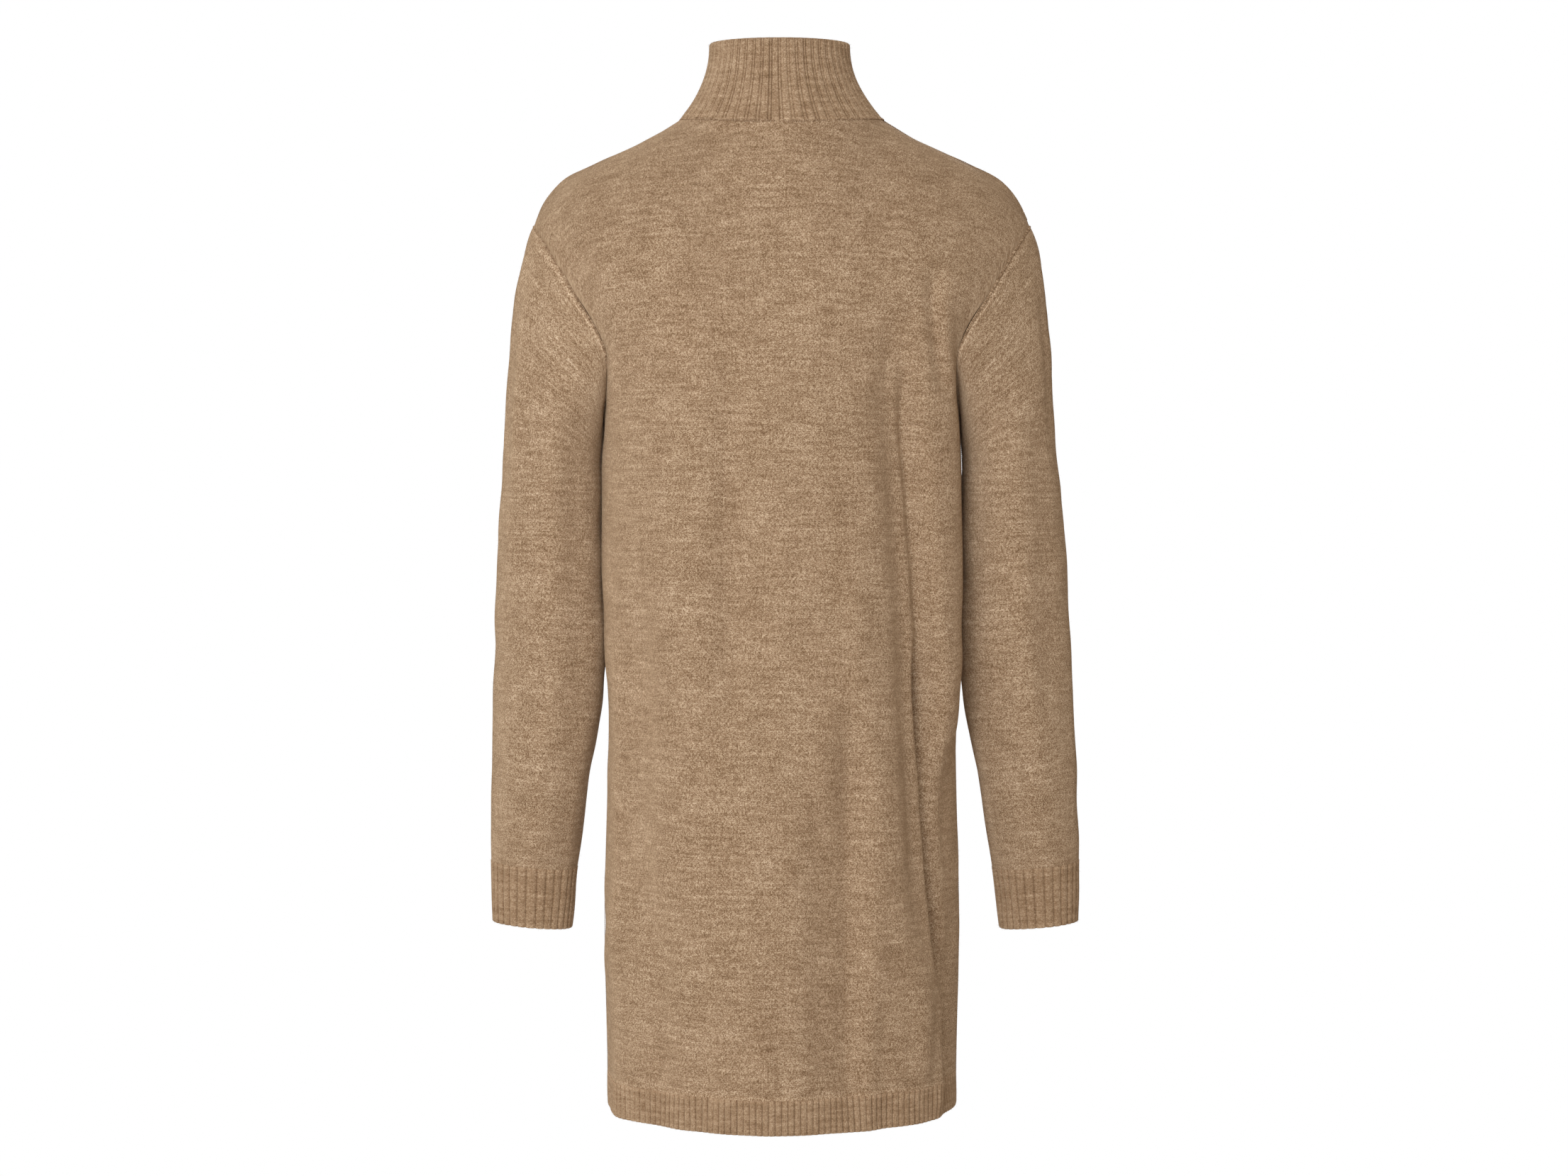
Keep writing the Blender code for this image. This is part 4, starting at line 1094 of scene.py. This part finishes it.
class Pattern:
    """A material under way, with short calls for its nodes. A value given to an input is
    either a socket, which is linked, or a plain number or colour."""

    def __init__(self, name):
        self.material = bpy.data.materials.new(name)
        self.material.use_nodes = True
        self.tree = self.material.node_tree
        self.shader = self.tree.nodes["Principled BSDF"]
        self.cloth = self.node("UVMap", {}, uv_map="cloth").outputs["UV"]

    def fill(self, node, inputs):
        for socket, value in inputs.items():
            if isinstance(value, bpy.types.NodeSocket):
                self.tree.links.new(value, node.inputs[socket])
            else:
                node.inputs[socket].default_value = value

    def node(self, kind, inputs, **settings):
        made = self.tree.nodes.new("ShaderNode" + kind)
        for setting, value in settings.items():
            setattr(made, setting, value)
        self.fill(made, inputs)
        return made

    def sum(self, operation, *values):
        """One step of arithmetic on numbers."""
        return self.node("Math", dict(enumerate(values)), operation=operation).outputs[0]

    def noise(self, scale, detail=2.0, roughness=0.5, stretch=None):
        """Noise over the cloth, at so many features a metre, finer along some axes."""
        place = self.cloth
        if stretch:
            place = self.node("Mapping", {"Vector": place, "Scale": (*stretch, 1.0)}).outputs[0]
        settings = {"Vector": place, "Scale": scale, "Detail": detail, "Roughness": roughness}
        return self.node("TexNoise", settings, noise_dimensions="2D").outputs[0]

    def spread(self, value, low, high, to_low, to_high):
        """A number moved from one range to another, and kept inside it."""
        inputs = dict(enumerate((value, low, high, to_low, to_high)))
        return self.node("MapRange", inputs).outputs[0]

    def ramp(self, value, *stops):
        """Colours by a number: each stop is a place and a colour."""
        node = self.node("ValToRGB", {"Fac": value})
        elements = node.color_ramp.elements
        for index, (place, colour) in enumerate(stops):
            element = elements[index] if index < 2 else elements.new(place)
            element.position = place
            element.color = colour
        return node.outputs["Color"]

    def shaded(self, colour, value):
        """A colour darkened or lightened by a number, and warmer where it gets darker."""
        parts = {axis: self.sum("POWER", value, power) for axis, power in enumerate(SHADE_POWERS)}
        scale = self.node("CombineXYZ", parts).outputs[0]
        return self.node("VectorMath", {0: colour, 1: scale}, operation="MULTIPLY").outputs[0]

    def lengths(self):
        """The place on the cloth, in metres across and up."""
        return self.node("SeparateXYZ", {0: self.cloth}).outputs[:2]

    def wale_and_course(self):
        """The place on the cloth, counted in wales and in courses."""
        across, up = self.lengths()
        return self.sum("DIVIDE", across, WALE), self.sum("DIVIDE", up, COURSE)

    def drawn(self, first, second):
        """A number from 0 to 1, drawn anew for each pair of whole numbers."""
        cell = self.node("CombineXYZ", {0: self.sum("FLOOR", first), 1: self.sum("FLOOR", second)})
        inputs = {"Vector": cell.outputs[0]}
        return self.node("TexWhiteNoise", inputs, noise_dimensions="2D").outputs["Value"]

    def plain_stitches(self):
        """Height of the knit's face and a tone for each half leg: a stitch is a V of two
        rounded legs, so its course falls from the wale's sides to its middle."""
        wale, course = self.wale_and_course()
        leg = self.sum("ABSOLUTE", self.sum("MULTIPLY_ADD", self.sum("FRACT", wale), 2.0, -1.0))
        fallen = self.sum("MULTIPLY_ADD", leg, -LEG_FALL, course)
        across = self.sum("SINE", self.sum("MULTIPLY", leg, pi))
        along = self.sum("SINE", self.sum("MULTIPLY", self.sum("FRACT", fallen), pi))
        height = self.sum("SQRT", self.sum("MULTIPLY", across, along))
        return height, self.drawn(self.sum("MULTIPLY", wale, 2.0), self.sum("MULTIPLY", fallen, 2.0))

    def linked_course(self, length, seam_shade):
        """Where the first course is, from 0 to 1, the height of its slanted loops, and the
        painted shade in the cloth's dip beside its seam."""
        across, up = self.lengths()
        low, high = (length * share for share in FIRST_COURSE_ENDS)
        here = self.spread(up, low, high, 1.0, 0.0)
        slanted = self.sum("MULTIPLY_ADD", up, LOOP_SLANT, across)
        turn = self.sum("MULTIPLY", slanted, pi / LOOP_PITCH)
        loops = self.sum("SQRT", self.sum("ABSOLUTE", self.sum("SINE", turn)))
        return here, loops, self.spread(up, *SEAM_SHADE_ENDS, seam_shade, 1.0)

    def grooves(self, wales, apart, width, most):
        """Painted shade across a ribbed band: the yarn's colour is darker in each groove, where
        shade falls, by a drawn amount of at most this share."""
        across, _ = self.lengths()
        place = self.sum("MULTIPLY_ADD", across, 1 / (wales * WALE), 0.5)
        off_line = self.sum("ABSOLUTE", self.sum("SUBTRACT", self.sum("FRACT", place), 0.5))
        off_groove = self.sum("ABSOLUTE", self.sum("SUBTRACT", off_line, apart))
        deep = self.spread(off_groove, 0.0, width * SHADE_REACH, 1.0, 0.0)
        strength = self.spread(self.drawn(place, 0.0), 0.0, 1.0, SHADE_LEAST, 1.0)
        shade = self.sum("MULTIPLY", deep, self.sum("MULTIPLY", strength, -most))
        return self.sum("ADD", shade, 1.0)

    def purl_stitches(self):
        """Height of the knit's inside and a tone for each stitch, a low arc across the wale."""
        wale, course = self.wale_and_course()
        wave = self.sum("SINE", self.sum("MULTIPLY", wale, 2 * pi))
        curved = self.sum("MULTIPLY_ADD", wave, PURL_BEND, course)
        height = self.sum("SINE", self.sum("MULTIPLY", self.sum("FRACT", curved), pi))
        return height, self.drawn(wale, curved)


def knit_finish(name, inside=False, tone=1.0, contrast=1.0, linked=LINKED_COURSE,
                seam_shade=1.0, rib=None):
    """Brushed wool-like yarn of mixed tones, knitted: flecks of dark and light fibre, a tone
    of its own for each leg of a stitch, cloudy patches, long lighter and darker courses,
    painted shade in the gaps between the stitches with a faint painted highlight on their
    crowns, and a soft sheen. The first course, as long as linked, has larger, lighter loops.
    tone lightens or darkens the whole knit, and on the sleeves it is painted light.
    seam_shade is the painted shade in the dip beside the seam that the first course is
    linked to. contrast is the share of the flecks that is kept. rib is the width of a rib in
    wales, how far its grooves lie from the line between two ribs and how wide they are, as
    shares of it, and the painted shade in them."""
    pattern = Pattern(name)
    stitches, own_tone = pattern.purl_stitches() if inside else pattern.plain_stitches()
    first_course, loops, beside_seam = pattern.linked_course(linked, seam_shade)
    if not inside:
        lifted = pattern.sum("SUBTRACT", loops, stitches)
        stitches = pattern.sum("MULTIPLY_ADD", lifted, first_course, stitches)
    flecks = pattern.sum("MULTIPLY_ADD", pattern.noise(*FLECKS), FLECK_SHARE, FLECK_BASE)
    mixed = pattern.sum("MULTIPLY_ADD", own_tone, LEG_SHARE, flecks)
    mixed = pattern.sum("MULTIPLY_ADD", mixed, contrast, MEAN_MIX * (1 - contrast))
    colour = pattern.ramp(mixed, (0.34, YARN_SHADE), (0.60, YARN_BODY), (0.90, YARN_LIGHT))
    shades = [
        pattern.spread(pattern.noise(*noise), *NOISE_RANGE, darkest, lightest)
        for noise, darkest, lightest in SLOW_TONES
    ]
    # painted shade in the gaps between the stitches, and a faint painted highlight on their crowns
    shades.append(pattern.spread(stitches, 0.0, 0.75, 1 - GAP_SHADE * contrast, 1.05))
    # tone lightens or darkens the whole knit; on the sleeves that is painted light
    shades.append(pattern.sum("MULTIPLY_ADD", first_course, FIRST_COURSE_LIGHT, tone))
    # painted shade in the dip beside the seam
    shades.append(beside_seam)
    if rib:
        # painted shade in the rib's grooves
        shades.append(pattern.grooves(*rib))
    shade = shades[0]
    for other in shades[1:]:
        shade = pattern.sum("MULTIPLY", shade, other)
    colour = pattern.shaded(colour, shade)
    relief = pattern.sum("MULTIPLY_ADD", mixed, 0.6, stitches)
    bump = pattern.node("Bump", {"Strength": 0.7, "Distance": 0.0005, "Height": relief})
    roughness = pattern.spread(mixed, 0.3, 0.9, 0.98, 0.84)
    pattern.fill(pattern.shader, {
        "Base Color": colour,
        "Roughness": roughness,
        "Normal": bump.outputs[0],
        "Specular IOR Level": 0.18,
        "Sheen Weight": 0.62,
        "Sheen Roughness": 0.40,
        "Sheen Tint": SHEEN_TINT,
    })
    return pattern.material


def fibre_finish(name, colour):
    """Loose yarn, mixed from fibre to fibre by its place."""
    pattern = Pattern(name)
    place = pattern.node("TexCoord", {}).outputs["Object"]
    tone = pattern.node("TexNoise", {"Vector": place, "Scale": 420.0, "Detail": 2.0}).outputs[0]
    mixed = pattern.ramp(tone, (0.30, YARN_SHADE), (0.52, colour), (0.72, YARN_LIGHT))
    twist = pattern.node("TexNoise", {"Vector": place, "Scale": 2600.0}).outputs[0]
    bump = pattern.node("Bump", {"Strength": 0.4, "Distance": 0.0002, "Height": twist})
    pattern.fill(pattern.shader, {
        "Base Color": mixed,
        "Roughness": pattern.spread(tone, 0.3, 0.7, 0.95, 0.82),
        "Normal": bump.outputs[0],
        "Specular IOR Level": 0.25,
        "Sheen Weight": 0.25,
        "Sheen Tint": SHEEN_TINT,
    })
    return pattern.material


def plain_finish(name, colour, roughness):
    made = bpy.data.materials.new(name)
    made.use_nodes = True
    shader = made.node_tree.nodes["Principled BSDF"]
    shader.inputs["Base Color"].default_value = colour
    shader.inputs["Roughness"].default_value = roughness
    return made


# ---- studio


def camera():
    made = bpy.data.objects.new("camera", bpy.data.cameras.new("camera"))
    made.data.lens = FOCAL_PIXELS * SENSOR_WIDTH / IMAGE_WIDTH
    made.data.sensor_width = SENSOR_WIDTH
    made.location = CAMERA_PLACE
    made.rotation_euler = (radians(90 - CAMERA_DIP), 0, radians(180))
    bpy.context.scene.collection.objects.link(made)
    bpy.context.scene.camera = made


def soft_box(name, azimuth, height, watts):
    """A square soft lamp that faces the dress. azimuth is measured from behind the dress
    towards its left, and height from the level, both in degrees."""
    lamp = bpy.data.lights.new(name, "AREA")
    lamp.shape = "SQUARE"
    lamp.size = SOFT_BOX_SIZE
    lamp.energy = watts
    lamp.color = LAMP_COLOUR
    made = bpy.data.objects.new(name, lamp)
    turn, rise = radians(azimuth), radians(height)
    way = np.array((sin(turn) * cos(rise), cos(turn) * cos(rise), sin(rise)))
    made.location = way * SOFT_BOX_DISTANCE + (0, 0, DRESS_MIDDLE)
    made.rotation_euler = (radians(90 - height), 0, radians(180 - azimuth))
    made.visible_camera = False
    bpy.context.scene.collection.objects.link(made)


def studio():
    """A pale floor, an even white surround and four soft lamps."""
    bpy.ops.mesh.primitive_circle_add(vertices=FLOOR_CORNERS, radius=FLOOR_RADIUS,
                                      fill_type="NGON", location=(0, 0, FLOOR))
    floor = bpy.context.object
    floor.name = "floor"
    floor.data.materials.append(plain_finish("pale_floor", FLOOR_COLOUR, FLOOR_ROUGHNESS))
    for lamp in SOFT_BOXES:
        soft_box(*lamp)
    world = bpy.data.worlds.new("surround")
    world.use_nodes = True
    tree = world.node_tree
    tree.nodes.clear()
    output = tree.nodes.new("ShaderNodeOutputWorld")
    seen, light, choose = (tree.nodes.new("ShaderNode" + kind)
                           for kind in ("Background", "Background", "MixShader"))
    seen.inputs["Color"].default_value = (1.0, 1.0, 1.0, 1.0)
    seen.inputs["Strength"].default_value = 1.0
    light.inputs["Color"].default_value = SURROUND_COLOUR
    light.inputs["Strength"].default_value = SURROUND_STRENGTH
    ray = tree.nodes.new("ShaderNodeLightPath")
    tree.links.new(ray.outputs["Is Camera Ray"], choose.inputs[0])
    tree.links.new(light.outputs[0], choose.inputs[1])
    tree.links.new(seen.outputs[0], choose.inputs[2])
    tree.links.new(choose.outputs[0], output.inputs["Surface"])
    bpy.context.scene.world = world
    bpy.context.scene.view_settings.view_transform = "Standard"


# ---- the dress


def declare(piece, node=None):
    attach(piece, "root")
    if node:
        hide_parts(node)


def napped(name, points, normals, kind, finish, slot="body_knit"):
    """A piece's nap, declared."""
    fuzz = nap(name, points, normals, FIBRES[kind], finish)
    declare(fuzz)
    return fuzz


def dress():
    """Every piece of the dress, and what is sewn on it."""
    inside = knit_finish("body_knit_inside", inside=True)
    knit = (knit_finish("body_knit_face"), inside)
    # The sleeves' knit is made lighter, as painted light, with painted shade beside the armhole seam
    sleeve_knit = (knit_finish("sleeve_knit_face", tone=TONES_AND_PAINTED_LIGHT["sleeve"], linked=LINKED_SLEEVE,
                               seam_shade=SLEEVE_SEAM_SHADE), inside)
    # Each rib's grooves, with the painted shade in them
    one_groove = (RIB_WALES, 0.0, GROOVE_WIDTH, GROOVE_SHADE)
    two_grooves = (COLLAR_RIB_WALES, TWIN_GROOVE_APART, TWIN_GROOVE_WIDTH, TWIN_GROOVE_SHADE)
    rib_inside = knit_finish("rib_knit_inside", True, TONES_AND_PAINTED_LIGHT["rib_inside"])
    rib, collar_rib = (
        (knit_finish(name, tone=TONES_AND_PAINTED_LIGHT[kind], contrast=CONTRASTS[kind], rib=grooves), rib_inside)
        for name, kind, grooves in (
            ("rib_knit_face", "rib", one_groove),
            ("collar_knit_face", "collar", two_grooves),
        )
    )
    linking_yarn = fibre_finish("linking_yarn", LINKING_YARN)
    loose_yarn = fibre_finish("loose_yarn", YARN_BODY)

    for face, side in ((1, "back"), (-1, "front")):
        piece, *skin = back_or_front(face, f"{side}_knit", knit)
        declare(piece, f"{side}_panel")
        fuzz = napped(f"{side}_nap", *skin, "panel", loose_yarn)
        band, *skin = hem_band(face, f"{side}_hem_rib", rib)
        declare(band, f"hem_rib_{side}")
        fuzz = napped(f"{side}_hem_nap", *skin, "hem", loose_yarn, "rib_knit")

    for side, name in ((1, "left"), (-1, "right")):
        piece, *skin = hanging_sleeve(side, f"{name}_sleeve_knit", sleeve_knit)
        declare(piece, f"{name}_sleeve")
        fuzz = napped(f"{name}_sleeve_nap", *skin, "sleeve", loose_yarn)
        band, *skin = ribbed_cuff(side, f"{name}_cuff_rib", rib)
        declare(band, f"{name}_cuff")
        fuzz = napped(f"{name}_cuff_nap", *skin, "cuff", loose_yarn, "rib_knit")

    piece, *skin = ribbed_collar("collar_rib", collar_rib)
    declare(piece, "collar")
    fuzz = napped("collar_nap", *skin, "collar", loose_yarn, "rib_knit")
    seams(linking_yarn)


def seams(finish):
    """The linked seams, as rows of small loops."""
    share = np.linspace(0, 1, SEAM_POINTS)
    edges = [
        (armhole(face, share), -sum(armhole_edges(face, share)[1:])) for face in (1, -1)
    ]
    armhole_line, armhole_face = (
        np.concatenate((back, front[::-1][1:])) for back, front in zip(*edges)
    )
    from_top = np.linalg.norm(armhole_line - armhole_line[SEAM_POINTS - 1], axis=1)
    deeper = LOOPS_SUNK + TOP_SUNK * bell(from_top, TOP_REACH)
    armhole_row = armhole_line - unit(armhole_face) * deeper[:, None]
    ridge = along_curve(SHOULDER, share)
    slope = unit(np.gradient(ridge, axis=0))
    over = np.stack((-slope[:, 2], np.zeros(SEAM_POINTS), slope[:, 0]), axis=-1)
    shoulder_row = (ridge - unit(over) * LOOPS_SUNK)[:-SHOULDER_SHORT]
    heights = np.linspace(HEM, UNDERARM, SEAM_POINTS)
    side_row = np.concatenate([torso_ring(1, np.ones(1), height) for height in heights])
    side_row[:, 1] = 0
    outward = np.broadcast_to((1.0, 0.0, 0.0), side_row.shape)
    for side, name in ((1, "left"), (-1, "right")):
        declare(linking(f"{name}_armhole_linking", *turned(side, armhole_row, armhole_face),
                        finish, loop=ARMHOLE_LOOP, aside=ARMHOLE_ASIDE * side))
        shoulder = turned(side, shoulder_row, over[:-SHOULDER_SHORT])
        declare(linking(f"{name}_shoulder_linking", *shoulder, finish))
        declare(linking(f"{name}_side_linking", *turned(side, side_row, outward), finish,
                        loop=SIDE_LOOP))
    foot, into, _, _ = collar_lines(np.linspace(0, 1, COLLAR_SEAM_POINTS) % 1)
    declare(linking("collar_linking", foot, -into, finish, pitch=LOOP_PITCH, loop=COLLAR_LOOP))


camera()
studio()
dress()
